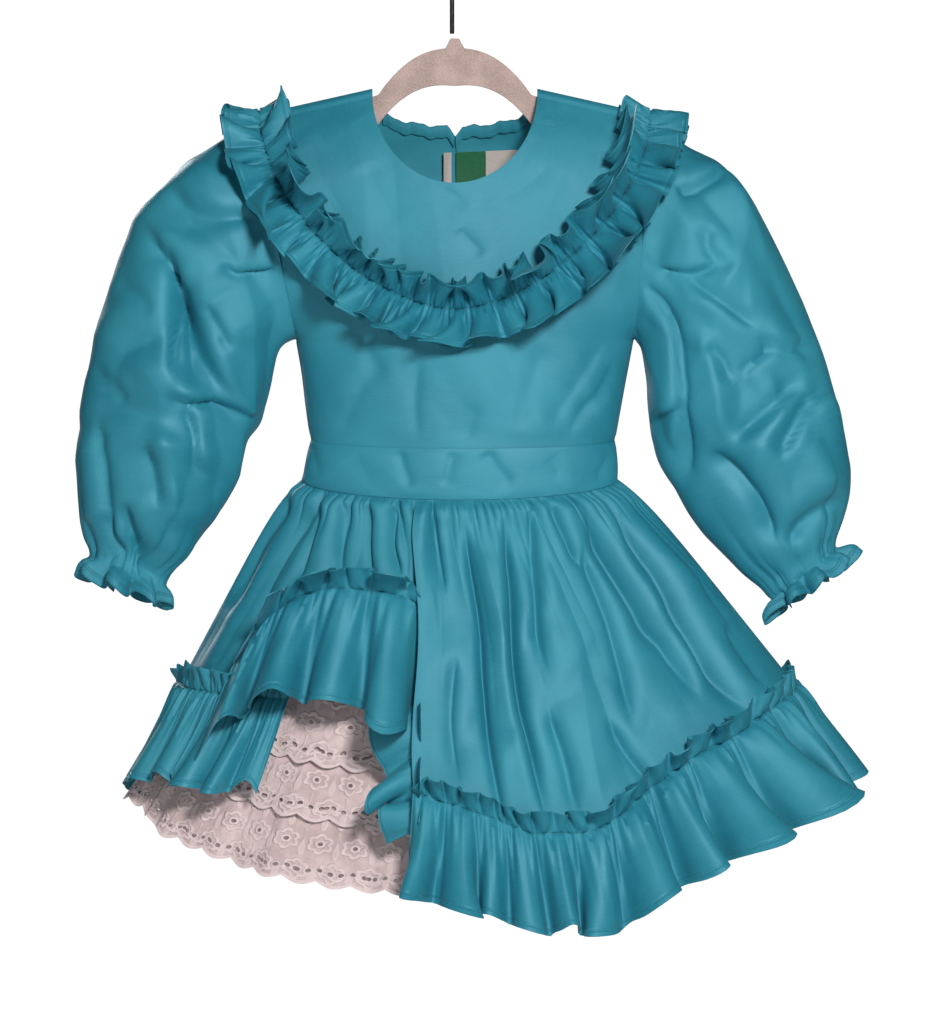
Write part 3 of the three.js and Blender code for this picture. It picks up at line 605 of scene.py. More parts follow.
def bodice_grid(face, first, last, columns, rows, side=0):
    column = np.linspace(first, last, columns + 1)[None, :]
    up = (1 - steps(rows))[:, None]
    angle = math.pi * (1 - column / END)
    half = np.where(column > END / 2, 1.0, -1.0)
    top_x, top_z = bodice_edge(face, column)
    side_at = lambda z: np.where(half > 0, side_x(1, z), side_x(-1, z))
    top_reach = (top_x - middle_x(top_z)) / (side_at(top_z) - middle_x(top_z))
    if face > 0:
        top_z = top_z - back_dip(top_x)
    z = mix(band_top(face, angle) + 0.1, top_z, up)
    x = mix(middle_x(z), side_at(z), mix(abs(np.cos(angle)), top_reach, up))
    grid = body_point(face, x + side * 0.2 * (abs(column - END / 2) < 1e-6), z)
    still = ease((1 - up) * 12) * ease(up * 16) * ease(column / 1.2) * ease((END - column) / 1.2)
    creases = BODICE_CREASES if face < 0 else BACK_CREASES
    height = crease_height(creases, grid[..., 0], grid[..., 2]) + crumple(grid, 90, 1.5, 3 + face)
    return push(grid, height * still, face=face)


sew("bodice_front", bodice_grid(-1, 0, END, 170, 66), "hung", ["hanger_body"])
sew("bodice_back_right", bodice_grid(1, 0, END / 2, 85, 64, -1), "hung", ["hanger_body"])
sew("bodice_back_left", bodice_grid(1, END / 2, END, 85, 64, 1), "hung", ["hanger_body"])

# %% [markdown]
# ## Neck binding and labels
# Inside the back of the neck are a narrow binding and a bare two-colour label whose free end
# curls forward. They are flat strips that follow the inside of the back, a layer in.

# %% Binding and labels
LABEL_TOP, LABEL_LOW = -160.0, -183.0


def binding_grid(first, last):
    column = np.linspace(first, last, 49)[None, :]
    x, z = bodice_edge(1, column)
    z = z - back_dip(x) - 0.6 - 8.0 * steps(6)[:, None]
    grid = body_point(1, x + 0 * z, z)
    fold = 0.5 * np.sin(steps(6) * math.pi)[:, None] + 0.3 * np.sin(column * 9)
    grid[..., 1] -= 2.1 + fold
    return grid


def label_grid(from_x, to_x, curl):
    across, down = steps(24)[None, :], steps(16)[:, None]
    x = mix(from_x, to_x, across) + 0 * down
    z = mix(LABEL_TOP, LABEL_LOW, down) + 0.04 * (x - 20)
    grid = body_point(1, x, z)
    wavy = 0.25 * np.sin(across * 5 + down * 3)
    grid[..., 1] -= 2.35 + curl * (1 - across) ** 2 + wavy
    return grid


# %% Woven tape
@cache
def woven_tape(name, ground, thread, pitch=0.0009):
    material, shader, start = new_finish(name, Sheen_Weight=0.2)
    cut, u, v = on_the_cut(start)
    weave = u.sine(pitch) * v.sine(pitch)
    worn = noise(start, cut, 240.0, 3.0)
    colour = blend(start, weave.ramp(-1, 1, 0, 0.35) + worn.ramp(0.5, 0.75, 0, 0.25), ground, thread)
    wire(start, shader, "Base Color", colour)
    wire(start, shader, "Roughness", worn.ramp(0.3, 0.7, 0.42, 0.6))
    bump(start, shader, weave * 0.00005 + worn * 0.0002)
    return material


finishes["green"] = lambda: woven_tape("tape_green", (0.003, 0.115, 0.042, 1), (0.012, 0.2, 0.085, 1))
finishes["white"] = lambda: woven_tape("tape_white", (0.5, 0.45, 0.43, 1), (0.66, 0.61, 0.58, 1))

sew("neck_binding_right", binding_grid(SHOULDER + 1.6, END / 2 - 0.03), "hung", ["bodice_back_right"])
sew("neck_binding_left", binding_grid(END / 2 + 0.03, NECK - 1.6), "hung", ["bodice_back_left"])
LABELS = (
    ("green", 3, 24, 0.0, "green"),
    ("white", 24.4, 48, 0.0, "white"),
    ("end", -6, -0.4, 3.0, "white"),
)
for label, from_x, to_x, curl, tape in LABELS:
    strip = label_grid(from_x, to_x, curl)
    options = {"finish": tape, "slot": "label_" + tape, "thick": 0.4}
    sew("neck_label_" + label, strip, "hung", ["bodice_back_left"], **options)

# %% [markdown]
# ## Collar
# The collar is a plain ring of cloth from the neckline to the ruffle. It is stiff enough to bridge
# the hollows under it, so only the pull of the ruffle and the drop of the front show, as a few
# wide shallow dips and two puckers below the neck.

# %% Collar creases
COLLAR_HALF, COLLAR_FRONT, COLLAR_BACK, COLLAR_ROUND = 141.0, 139.0, 118.0, 1.2
COLLAR_CREASES = (
    Crease(1.5, 9, 0.3, [(-22, -160), (-12, -178), (4, -194), (14, -203)]),
    Crease(1, 7.5, 0.25, [(34, -196), (52, -185), (72, -170)]),
    Crease(1.4, 6, 0.25, [(4, -216), (12, -224), (24, -236)]),
    Crease(0.8, 6, -0.25, [(-36, -246), (-34, -256), (-27, -264)]),
    Crease(1.3, 18, 0.2, [(-62, -168), (-52, -192), (-36, -216)]),
    Crease(1.1, 19.5, 0.2, [(84, -176), (70, -200), (54, -228)]),
    Crease(1, 15, 0.2, [(-104, -150), (-92, -182), (-72, -214)]),
    Crease(1, 13.5, 0.2, [(112, -152), (102, -186), (86, -212)]),
)
COLLAR_BACK_CREASES = (
    Crease(1.6, 12, 0.4, [(-70, -160), (-58, -186), (-44, -214)]),
    Crease(1.4, 10, -0.4, [(80, -164), (66, -190), (46, -218)]),
    Crease(1.2, 8, 0.4, [(-18, -170), (-12, -196), (-16, -222)]),
)


# %% Collar panels
def collar_edge(face, angle):
    drop = COLLAR_FRONT if face < 0 else COLLAR_BACK
    across = abs(np.cos(angle)) ** COLLAR_ROUND * np.sign(np.cos(angle))
    top = shoulder_z(CENTRE_X + COLLAR_HALF)
    return CENTRE_X + COLLAR_HALF * across, top - drop * clamp(np.sin(angle)) ** COLLAR_ROUND


def collar_grid(face, first, last, columns, rows, side=0):
    angle = np.radians(np.linspace(first, last, columns + 1))[None, :]
    out = steps(rows)[:, None]
    inner_x, inner_z = neckline(face, angle)
    if face > 0:
        inner_z = inner_z - back_dip(inner_x)
    outer_x, outer_z = collar_edge(face, angle)
    shift = side * 0.2 * (abs(angle - math.pi / 2) < 1e-6)
    grid = body_point(face, mix(inner_x, outer_x, out) + shift, mix(inner_z, outer_z, out), LAYER)
    still = ease(np.sin(angle) * 5) * ease(out * 8)
    creases = COLLAR_CREASES if face < 0 else COLLAR_BACK_CREASES
    height = crease_height(creases, grid[..., 0], grid[..., 2]) + crumple(grid, 64, 1.2, 11 + face)
    puckers = 0.5 * np.sin(angle * 78 + 3 * np.sin(angle * 9)) * np.exp(-(1 - out) / 0.10)
    return push(grid, (height + puckers) * still, face=face)


sew("collar_front", collar_grid(-1, 180, 0, 200, 60), "laid", ["bodice_front"])
sew("collar_back_right", collar_grid(1, 180, 90, 90, 48, -1), "laid", ["bodice_back_right"])
sew("collar_back_left", collar_grid(1, 90, 0, 90, 48, 1), "laid", ["bodice_back_left"])

# %% [markdown]
# ## Ruffles
# A ruffle is a long strip gathered up on a row of stitches. Cloth that is squeezed sideways like
# this bends into the curve of a meandering river, whose direction swings evenly to and fro: a
# gentle wave by the stitches, and round loops by the free edge, where there is more cloth than
# room. So each flute is walked in small steps along the cloth, turning by a sine, and the turn
# grows with the distance from the stitches. Every flute differs in width, turn and lean.

# %% The walk across a flute
def flutes(turns, swell=0.6, count=20):
    """Walks across flutes: how far along and how far out each step is, for a flute 1 wide."""
    phase = TURN * (np.arange(count) + 0.5) / count
    heading = turns[:, None] * np.sin(phase)
    pace = 1 - swell * np.cos(phase)
    along, rise = np.cos(heading) * pace, np.sin(heading) * pace
    whole = along.sum(axis=1, keepdims=True)
    begin = np.zeros((len(turns), 1))
    along = np.concatenate([begin, np.cumsum(along, axis=1) / whole], axis=1)
    rise = np.concatenate([begin, np.cumsum(rise, axis=1) / whole], axis=1)
    return along, rise


def between(values, places, at):
    return np.stack([np.interp(at, places, values[:, k]) for k in range(values.shape[1])], axis=1)


# %% One ruffle, from its line of stitches
def ruffle_grid(
    line, away, out, waves, heading, frill, seed, stand=0.0, calm=None, turns=1.5, lean=0.5, press=(0.8, 0.6),
    pinch=1.0, drip=0.1, tilt=(0.1, 0.4), split=1, rounded=(0.0, 0.6), settle=0.0
):
    """waves is the number of flutes, or their widths in turn, and heading and frill are (width,
    rows). stand is how far the frill's edge stands off, tilt is the angle at which the frill and
    the heading leave the cloth under them, split is how many small flutes the heading has for
    each one of the frill, and settle sinks the frill's valleys inwards."""
    random = np.random.default_rng(seed)
    walked = np.concatenate([[0], np.cumsum(np.linalg.norm(np.diff(line, axis=0), axis=1))])
    room = random.uniform(0.6, 1.45, waves) if isinstance(waves, int) else np.array(waves, float)
    room = room / room.sum() * walked[-1]
    calm = np.ones(len(line)) if calm is None else calm
    stand = np.broadcast_to(stand, line.shape[:1])
    sides = []
    for parts in (1, split):
        small = np.repeat(room / parts, parts)
        starts = np.concatenate([[0], np.cumsum(small)])
        wander = small.mean() * 0.22 * random.normal(size=len(starts))
        wander[[0, -1]] = 0
        strength = turns * random.uniform(0.75, 1.15, len(small)) * parts**0.15
        strength = strength * np.interp(starts[:-1] + small / 2, walked, calm)
        leans = lean * random.normal(size=(len(small), 1)).clip(-1.5, 1.5)
        flop = random.normal(size=(len(small), 1)).clip(-1.5, 1.5)
        sides.append((small, starts, wander, strength, leans, flop, 24 // parts))
    join = lambda grid: np.concatenate([grid[:, :-1].ravel(), grid[-1:, -1]])
    rows = []
    for across in np.concatenate([-steps(heading[1])[:0:-1], steps(frill[1])]):
        upper, t = int(across < 0), abs(across)
        width = heading[0] if upper else frill[0]
        small, starts, wander, strength, leans, flop, count = sides[upper]
        along, rise = flutes(strength * t**0.6, count=count)
        rise = rise * small[:, None]
        shifted = starts + wander * t
        place = shifted[:-1, None] + along * np.diff(shifted)[:, None] + leans * rise * t
        flopped = join(flop * np.sin(along * math.pi))
        place, rise = join(place), join(rise)
        fine = TURN * place / room.mean()
        tuck = np.cos(fine * 3.1 + seed) * np.exp(-t / 0.25)
        tuck = tuck + 0.7 * np.cos(fine * 5.3) * np.exp(-t / 0.4)
        to_end = np.minimum(place, walked[-1] - place) / 7
        droop = drip * rise / small.mean() + 0.1 * flopped * t
        reach = t * width * (1 + droop - rounded[upper] * np.exp(-(to_end**2)))
        point, to_edge, off = (between(v, walked, place) for v in (line, away, out))
        to_edge = to_edge * (-1 if upper else 1)
        slope = (tilt[upper] * np.interp(place, walked, calm))[:, None]
        lifted = to_edge * np.cos(slope) + off * np.sin(slope)
        outward = off * np.cos(slope) - to_edge * np.sin(slope)
        sunk = settle * rise.mean() * ease(t * 2.5) * (1 - upper)
        height = press[upper] * (rise - sunk) + pinch * tuck * t**0.2
        edge_off = max(0, across) * np.interp(place, walked, stand)
        moved = point + lifted * reach[:, None] + outward * height[:, None]
        rows.append(moved + off * edge_off[:, None])
    return np.stack(rows)


sample = flutes(np.array([0.4, 1.5]))[1]
print("a flute 1 wide stands out by", sample.max(axis=1).round(2), "at turns of 0.4 and 1.5")


# %% Collar ruffle
HEADING, FRILL = 25.0, 28.0


def collar_ruffle_grid(face, first, last, waves, seed):
    lift = LAYER * 2 + 0.2

    def stitching(angle):
        x, z = collar_edge(face, angle)
        return body_point(face, x, z, lift)

    start, end = np.radians(first), np.radians(last)
    angle = even_stations(stitching, start, end, waves * 20)
    line = stitching(angle)
    x, z = collar_edge(face, angle)
    here = body_point(face, x, z, lift)
    beside = body_point(face, x + 1, z, lift) - here
    below = body_point(face, x, z - 1, lift) - here
    surface_out = unit(np.cross(beside, below))
    surface_out = surface_out * np.sign(surface_out[:, 1:2] * face)
    half = np.sign(np.cos(angle))
    half[half == 0] = 1
    share = ease(abs(line[:, 1]) / 34)[:, None]
    up_out = unit(stack(SHOULDER_SLOPE * half, 0 * half, 1 + 0 * half))
    out = unit(mix(up_out, surface_out, share))
    nudge = 0.01
    past = unit(stitching(np.maximum(0, angle - nudge)) - stitching(np.minimum(math.pi, angle + nudge)))
    straight = stack(0 * half, -face * half, 0 * half)
    along = unit(mix(straight, past, share))
    away = unit(np.cross(along, out)) * -face
    over_sleeve = mix(1.5, 0.5, share[:, 0])
    calm = mix(0.36, 1.0, share[:, 0])
    return ruffle_grid(
        line, away, out, waves, (HEADING, 10), (FRILL, 11), seed, stand=over_sleeve, calm=calm,
        turns=1.75, lean=0.8, press=(1.45, 1.4), pinch=2.4, drip=0.08, tilt=(0.22, 0.42),
        rounded=(0.3, 0.5),
    )


trim = {"finish": "collar_ruffle", "long": HEADING + FRILL}
front_strip = collar_ruffle_grid(-1, 180, 0, 29, 23)
sew("collar_ruffle_front", front_strip, "gathered", ["collar_front"], **trim)
for side, first, last, seed in (("right", 180, 90.9, 31), ("left", 89.1, 0, 41)):
    strip = collar_ruffle_grid(1, first, last, 14, seed)
    sew("collar_ruffle_back_" + side, strip, "gathered", ["collar_back_" + side], **trim)

# %% [markdown]
# ## Sleeves
# A bishop sleeve is a wide tube gathered at the armhole and again on elastic at the wrist. It
# hangs flat and empty, so it is drawn as a row of ellipses from the armhole to the cuff, joined
# by a smooth curve. The long creases that the weight of the cloth pulls across it are then laid
# on its front, one by one, and others like them on its back.

# %% Sleeve sections
HEAD_CLEAR = 0.1  # the sleeve starts this far outside the body's own edge
SLEEVE_FOLD = 1.65  # how deep the creases go, next to the depths listed below
CUFF = 10  # the section at the elastic, counted from the armhole

# The outer edge's x and z, the inner edge's x and z, and half the depth, from armhole to frill.
SLEEVE_ROWS = {
    -1: (
        (-170, -154, -121, -300, 34),
        (-198, -174, -126, -306, 39),
        (-221, -197, -129, -317, 42),
        (-238, -231, -132, -333, 43),
        (-253, -279, -136, -350, 42),
        (-264, -326, -145, -370, 40),
        (-269, -369, -156, -397, 37),
        (-271, -405, -170, -425, 32),
        (-268, -434, -186, -447, 24),
        (-262, -450, -204, -470, 15),
        (-265, -458, -204, -481, 17),
        (-268, -467, -204, -490, 19),
    ),
    1: (
        (170, -157, 136, -303, 34),
        (194, -171, 139, -316, 39),
        (213, -190, 141, -329, 42),
        (229, -218, 142, -347, 43),
        (250, -265, 145, -368, 42),
        (270, -311, 151, -388, 40),
        (282, -358, 164, -410, 37),
        (287, -398, 183, -437, 32),
        (284, -423, 205, -463, 24),
        (277, -444, 227, -482, 15),
        (283, -450, 229, -489, 17),
        (290, -456, 232, -496, 19),
    ),
}
SLEEVE_CREASES = {
    -1: (
        Crease(8.0, 13, 0.0, [(-202, -250), (-190, -290), (-182, -334)]),
        Crease(4.0, 4, -0.9, [(-208, -222), (-204, -260), (-203, -300), (-200, -330)]),
        Crease(6.0, 7, 0.9, [(-226, -206), (-202, -242), (-186, -280), (-172, -316), (-152, -344)]),
        Crease(4.0, 5, 0.9, [(-210, -334), (-190, -341), (-167, -343), (-146, -351), (-134, -356)]),
        Crease(3.6, 7, 0.6, [(-206, -182), (-184, -200), (-160, -206), (-138, -205)]),
        Crease(3.4, 5, 0.7, [(-166, -240), (-153, -249), (-138, -249), (-120, -243)]),
        Crease(2.0, 4, 0.7, [(-258, -315), (-246, -327), (-232, -337)]),
        Crease(2.4, 4, 0.8, [(-191, -343), (-184, -364), (-185, -382), (-173, -397)]),
        Crease(3.0, 4, 0.8, [(-221, -370), (-213, -389), (-208, -420)]),
        Crease(6.5, 8, 0.5, [(-239, -411), (-229, -434), (-217, -456), (-208, -476)]),
        Crease(4.0, 5, 0.7, [(-252, -420), (-247, -437), (-236, -450)]),
        Crease(4.5, 7, -0.5, [(-258, -352), (-255, -398), (-250, -440)]),
        Crease(3.0, 6, 0.6, [(-176, -270), (-166, -288), (-158, -305)]),
        Crease(2.0, 6, 0.5, [(-244, -250), (-226, -262), (-214, -280)]),
        Crease(-3.0, 9, 0.0, [(-214, -352), (-203, -396), (-200, -440)]),
    ),
    1: (
        Crease(4.4, 6, 0.7, [(160, -186), (172, -184), (186, -178), (200, -172)]),
        Crease(3.2, 4, 0.8, [(146, -245), (168, -248), (194, -240)]),
        Crease(3.0, 6, -0.6, [(164, -252), (192, -270), (216, -284), (222, -276)]),
        Crease(3.2, 5, 0.7, [(222, -293), (243, -300), (268, -294)]),
        Crease(2.6, 4, 0.6, [(238, -298), (222, -311), (208, -324)]),
        Crease(4.6, 8, 0.8, [(262, -318), (232, -348), (200, -374)]),
        Crease(4.6, 8, 0.8, [(279, -326), (256, -350), (234, -386)]),
        Crease(8.0, 11, 0.3, [(178, -378), (204, -392), (222, -414), (234, -448)]),
        Crease(6.0, 8, -0.4, [(286, -406), (266, -416), (248, -430), (238, -446)]),
        Crease(5.0, 5, -0.9, [(130, -250), (154, -284), (162, -322), (165, -346), (163, -412)]),
        Crease(3.0, 5, 0.6, [(140, -358), (152, -350), (166, -342)]),
        Crease(3.0, 9, 0.5, [(186, -212), (188, -232), (206, -244)]),
        Crease(2.4, 8, 0.5, [(180, -300), (194, -308), (202, -330)]),
        Crease(-3.5, 10, 0.0, [(176, -286), (190, -330), (196, -372)]),
    ),
}
SLEEVE_BACK_CREASES = {
    -1: (
        Crease(7.0, 12, 0.4, [(-222, -216), (-200, -262), (-186, -318)]),
        Crease(4.0, 6, 0.8, [(-232, -340), (-200, -352), (-160, -350)]),
        Crease(3.0, 6, 0.6, [(-196, -190), (-168, -206), (-136, -210)]),
        Crease(5.5, 8, 0.5, [(-250, -380), (-236, -420), (-222, -462)]),
        Crease(3.0, 5, 0.6, [(-196, -370), (-204, -410), (-214, -450)]),
    ),
    1: (
        Crease(7.0, 12, 0.4, [(214, -210), (196, -262), (184, -316)]),
        Crease(4.0, 6, 0.8, [(254, -330), (216, -356), (168, -362)]),
        Crease(3.0, 6, 0.6, [(198, -186), (172, -204), (146, -212)]),
        Crease(5.5, 8, 0.5, [(262, -374), (250, -414), (246, -456)]),
        Crease(3.0, 5, 0.6, [(196, -380), (216, -420), (240, -458)]),
    ),
}


# %% Sleeves
def rings_to_rows(rings, rows):
    """A smooth surface through a stack of rings, read at evenly shared heights."""
    at = np.linspace(0, len(rings) - 1, rows + 1)
    i = np.minimum(at.astype(int), len(rings) - 2)
    s = (at - i)[:, None, None]
    before, here = rings[np.maximum(i - 1, 0)], rings[i]
    after, beyond = rings[i + 1], rings[np.minimum(i + 2, len(rings) - 1)]
    first, last = (after - before) / 2, (beyond - here) / 2
    curve = 3 * (after - here) - 2 * first - last + s * (first + last - 2 * (after - here))
    return here + s * (first + s * curve)


def sleeve_grid(side, seed):
    columns, rows = 160, 120
    share = steps(columns)
    angle = share * TURN
    z = mix(TIP_Z, UNDERARM_Z, (1 - np.cos(angle)) / 2)
    front = np.where(np.sin(angle) >= 0, -1.0, 1.0)
    seam = body_point(-1, side_x(side, z), z)
    depth = -front * seam[:, 1] * ease(abs(np.sin(angle)) * 8)
    rings = [stack(seam[:, 0] + side * HEAD_CLEAR, depth, seam[:, 2])]
    for out_x, out_z, in_x, in_z, deep in SLEEVE_ROWS[side]:
        middle = np.array([(out_x + in_x) / 2, 0, (out_z + in_z) / 2])
        across = np.array([(out_x - in_x) / 2, 0, (out_z - in_z) / 2])
        ring = middle + np.cos(angle)[:, None] * across
        ring[:, 1] = -np.sin(angle) * deep
        rings.append(ring)
    grid = rings_to_rows(np.stack(rings), rows)
    down = np.linspace(0, len(rings) - 1, rows + 1)[:, None]
    a = angle[None, :]

    out = unit(grid - grid.mean(axis=1, keepdims=True))
    x, z = grid[..., 0], grid[..., 2]
    faces_front = ease(np.sin(a) * 2.2) * ease(down / 0.8) * ease((10.6 - down) / 0.8)
    faces_back = ease(-np.sin(a) * 2.2) * ease(down / 0.8) * ease((10.6 - down) / 0.8)
    height = SLEEVE_FOLD * crease_height(SLEEVE_CREASES[side], x, z) * faces_front
    height = height + SLEEVE_FOLD * crease_height(SLEEVE_BACK_CREASES[side], x, z) * faces_back
    edge_on = mix(0.4, 1.0, ease(abs(np.sin(a)) * 1.6))
    inside = ease(down / 1.5) * ease((CUFF - down) / 1.5)
    height = height + crumple(grid, 52, 5.3, seed) * edge_on * inside

    span = 200.0
    place = a / TURN * span
    from_head, from_wrist = down * 30.0, abs(down - CUFF) * 17.0
    head = gathers(place, from_head, span, 30, seed, depth=2.4, reach=34, width=2.2, ring=True)
    height = height + head * ease(down / 0.3)
    fine = gathers(place, from_wrist, span, 30, seed + 1, depth=3.4, reach=24, width=1.8, ring=True)
    wide = gathers(place, from_wrist, span, 11, seed + 2, depth=6.0, reach=64, width=3.2, ring=True)
    height = height + (fine + wide * ease((down - 6) / 3)) * mix(0.4, 1.0, ease(from_wrist / 8))
    flare = ease((down - CUFF) / 1.4)
    uneven = 1 + 0.3 * np.sin(a * 2 + seed) + 0.2 * np.sin(a * 5)
    curl = np.cos(9 * a + 0.7 * np.sin(a * 3 + seed))
    height = height + flare * uneven * (6.0 * np.sign(curl) * abs(curl) ** 0.7 + 0.8)
    shape = grid + out * height[..., None]
    shape[..., 2] += flare * 3.2 * np.cos(9 * a + 1.2)
    shape[:, -1] = shape[:, 0]
    return shape


for name, side, seed in (("right", -1, 5), ("left", 1, 8)):
    shape = sleeve_grid(side, seed)
    rests = ["bodice_front", "bodice_back_" + name]
    sew("sleeve_" + name, shape, "hung", rests, finish="sleeve", tube=True)

# %% [markdown]
# ## Waistband
# The waistband is a wide double strip between the bodice and the skirt. It has no stiffening, so
# it has buckled into a few short slanting folds between its seams.

# %% Waistband creases
BAND_CREASES = (
    Crease(2.2, 5.6, 0.4, [(-37, -374), (-33, -388), (-27, -405)]),
    Crease(2, 6.2, -0.3, [(0, -376), (-3, -390), (-7, -404)]),
    Crease(2.6, 8.8, 0.35, [(24, -374), (33, -388), (46, -404)]),
    Crease(1.7, 6.2, 0.25, [(-100, -370), (-97, -384), (-93, -396)]),
    Crease(1.9, 6.2, -0.25, [(114, -374), (108, -386), (102, -400)]),
    Crease(0.9, 8.8, 0.2, [(-70, -378), (-62, -390), (-58, -402)]),
    Crease(0.8, 8.8, 0.2, [(70, -380), (76, -390), (74, -400)]),
)
BAND_BACK_CREASES = (
    Crease(3.0, 5, 0.7, [(-60, -371), (-55, -386), (-58, -398)]),
    Crease(2.6, 6, -0.5, [(-20, -372), (-14, -386), (-16, -398)]),
    Crease(3.0, 6, 0.6, [(40, -371), (46, -385), (44, -398)]),
    Crease(2.2, 5, 0.5, [(86, -371), (82, -384), (85, -396)]),
)


# %% Waistband
def waistband_grid(face, first, last, columns, side=0):
    angle = np.radians(np.linspace(first, last, columns + 1))[None, :]
    down = steps(20)[:, None]
    z = mix(band_top(face, angle), band_low(face, angle), down)
    half = (side_x(1, z) - side_x(-1, z)) / 2
    shift = side * 0.2 * (abs(angle - math.pi / 2) < 1e-6)
    x = middle_x(z) + half * np.cos(angle) + shift
    grid = stack(x, face * np.maximum(0.6, BODY_DEPTH * np.sin(angle)), z)
    creases = BAND_CREASES if face < 0 else BAND_BACK_CREASES
    height = crease_height(creases, grid[..., 0], grid[..., 2]) + crumple(grid, 50, 0.8, 9)
    full = 0.9 + 1.3 * np.sin(down * math.pi) ** 0.6
    height = height * ease(np.sin(down * math.pi) * 2.2) + full
    return push(grid, height * ease(np.sin(angle) * 6), face=face)


sew("waistband_front", waistband_grid(-1, 180, 0, 190), "hung", ["bodice_front"])
sew("waistband_back_right", waistband_grid(1, 180, 90, 90, -1), "hung", ["bodice_back_right"])
sew("waistband_back_left", waistband_grid(1, 90, 0, 90, 1), "hung", ["bodice_back_left"])

# %% [markdown]
# ## Skirt
# The skirt is a wide straight piece gathered into the waist. Its fullness leaves the seam as tiny
# pleats, which join into about ten long folds that fan out towards the hem. At the wearer's
# right the hem is drawn up, so the front's edge folds back and the side swings away under it.
# The skirt is built on a leaning cone, with the long folds laid on it one by one and the gathers
# as two sets of sharp valleys: long wide ones, and short fine ones between them.

# %% Skirt sizes and creases
SKIRT_X, SKIRT_HALF, FLARE, FLARE_LEAN, DEPTH_FLARE = 5.4, 113.0, 0.665, 0.135, 0.27
PUFF, PUFF_REACH = 10.0, 15.0
FOLD_EDGE, FOLD_SWAY, FOLD_RISE = -26.0, 2.4, 3.0
TUCK_TOP, TUCK, TUCK_DEPTH = -26.0, -15.0, 4.0
SKIRT_FOLD, BESIDE_CREASES = 1.9, 0.35  # how deep the listed creases go, and the folds between them
SIDE_WARP = 0.186
FRONT_DROPS = (
    (0, 12, 26, 41, 51, 60, 67, 72, 79, 85, 90, 98),
    (144, 150, 158, 176, 188, 208, 228, 239, 239, 228, 220, 208),
)
ARCH_DROPS = (
    (95, 103, 111, 121, 128, 134, 139, 143, 146, 156, 180),
    (80, 72, 66, 66, 70, 81, 97, 126, 145, 146, 146),
)
BACK_DROPS = ((180, 225, 270, 315, 360), (146, 168, 176, 168, 144))
SKIRT_CREASES = (
    Crease(5.0, 4.5, 0.5, [(10, -424), (12, -446), (21, -500), (24, -545), (30, -600), (40, -650)]),
    Crease(7.5, 5.0, -0.5, [(36, -420), (42, -470), (43, -515), (48, -560), (58, -600), (68, -650)]),
    Crease(3.6, 4.5, 0.6, [(58, -410), (62, -450), (64, -506), (70, -540)]),
    Crease(3.4, 4.0, 0.5, [(71, -412), (84, -440), (96, -462)]),
    Crease(4.0, 6.0, 0.4, [(94, -440), (112, -490), (126, -532), (132, -580)]),
    Crease(8.0, 8.0, 0.4, [(98, -420), (122, -462), (146, -502), (164, -522), (182, -560)]),
    Crease(7.0, 7.0, 0.4, [(118, -418), (146, -458), (172, -500), (200, -546), (226, -572)]),
    Crease(3.0, 5.0, 0.5, [(112, -566), (128, -592), (146, -618), (158, -650)]),
    Crease(2.4, 7.0, 0.4, [(4, -520), (0, -570), (6, -620)]),
    Crease(3.0, 6.0, 0.5, [(70, -560), (84, -600), (92, -640)]),
    Crease(2.6, 4.0, 0.5, [(-12, -418), (-10, -445), (-4, -480)]),
    Crease(2.4, 6.0, -0.4, [(196, -500), (212, -528), (226, -550)]),
)
ARCH_CREASES = (
    Crease(4.0, 5.0, 0.5, [(-40, -412), (-42, -440), (-36, -470)]),
    Crease(3.0, 4.0, 0.5, [(-58, -410), (-60, -440), (-56, -474)]),
    Crease(3.0, 5.0, -0.5, [(-78, -406), (-84, -440), (-82, -478)]),
    Crease(6.0, 7.0, 0.4, [(-98, -412), (-122, -450), (-140, -496), (-150, -540)]),
    Crease(3.6, 5.0, 0.5, [(-92, -402), (-100, -440), (-112, -478)]),
    Crease(4.0, 6.0, 0.4, [(-112, -404), (-142, -446), (-164, -500)]),
)


# %% Points of the cone
def skirt_half(angle, drop):
    puff = PUFF * (1 - np.exp(-drop / PUFF_REACH))
    return SKIRT_HALF + (FLARE + FLARE_LEAN * np.cos(angle)) * drop + puff


def skirt_point(angle, drop, lift):
    face = np.where(np.sin(angle) >= 0, 1.0, BACK_SHARE)
    puff = PUFF * (1 - np.exp(-drop / PUFF_REACH))
    depth = BODY_DEPTH + DEPTH_FLARE * drop + puff * 0.5 + lift
    x = SKIRT_X + (skirt_half(angle, drop) + lift) * np.cos(angle)
    top = WAIST_Z - WAIST_DIP * abs(np.sin(angle)) * face
    return stack(x, -depth * np.sin(angle), top - 0.2 - drop)


def fold_edge(drop):
    """The fold's edge sways a little on its way down, as a soft fold does."""
    return FOLD_EDGE + FOLD_SWAY * np.sin(drop / 27 - 1.9) * ease(drop / 30)


def angle_at_x(x, drop):
    return np.arccos((x - SKIRT_X) / skirt_half(math.radians(97), drop))


print("half the skirt's width 150 mm down:", round(float(skirt_half(0.0, 150.0))), "mm at the left")

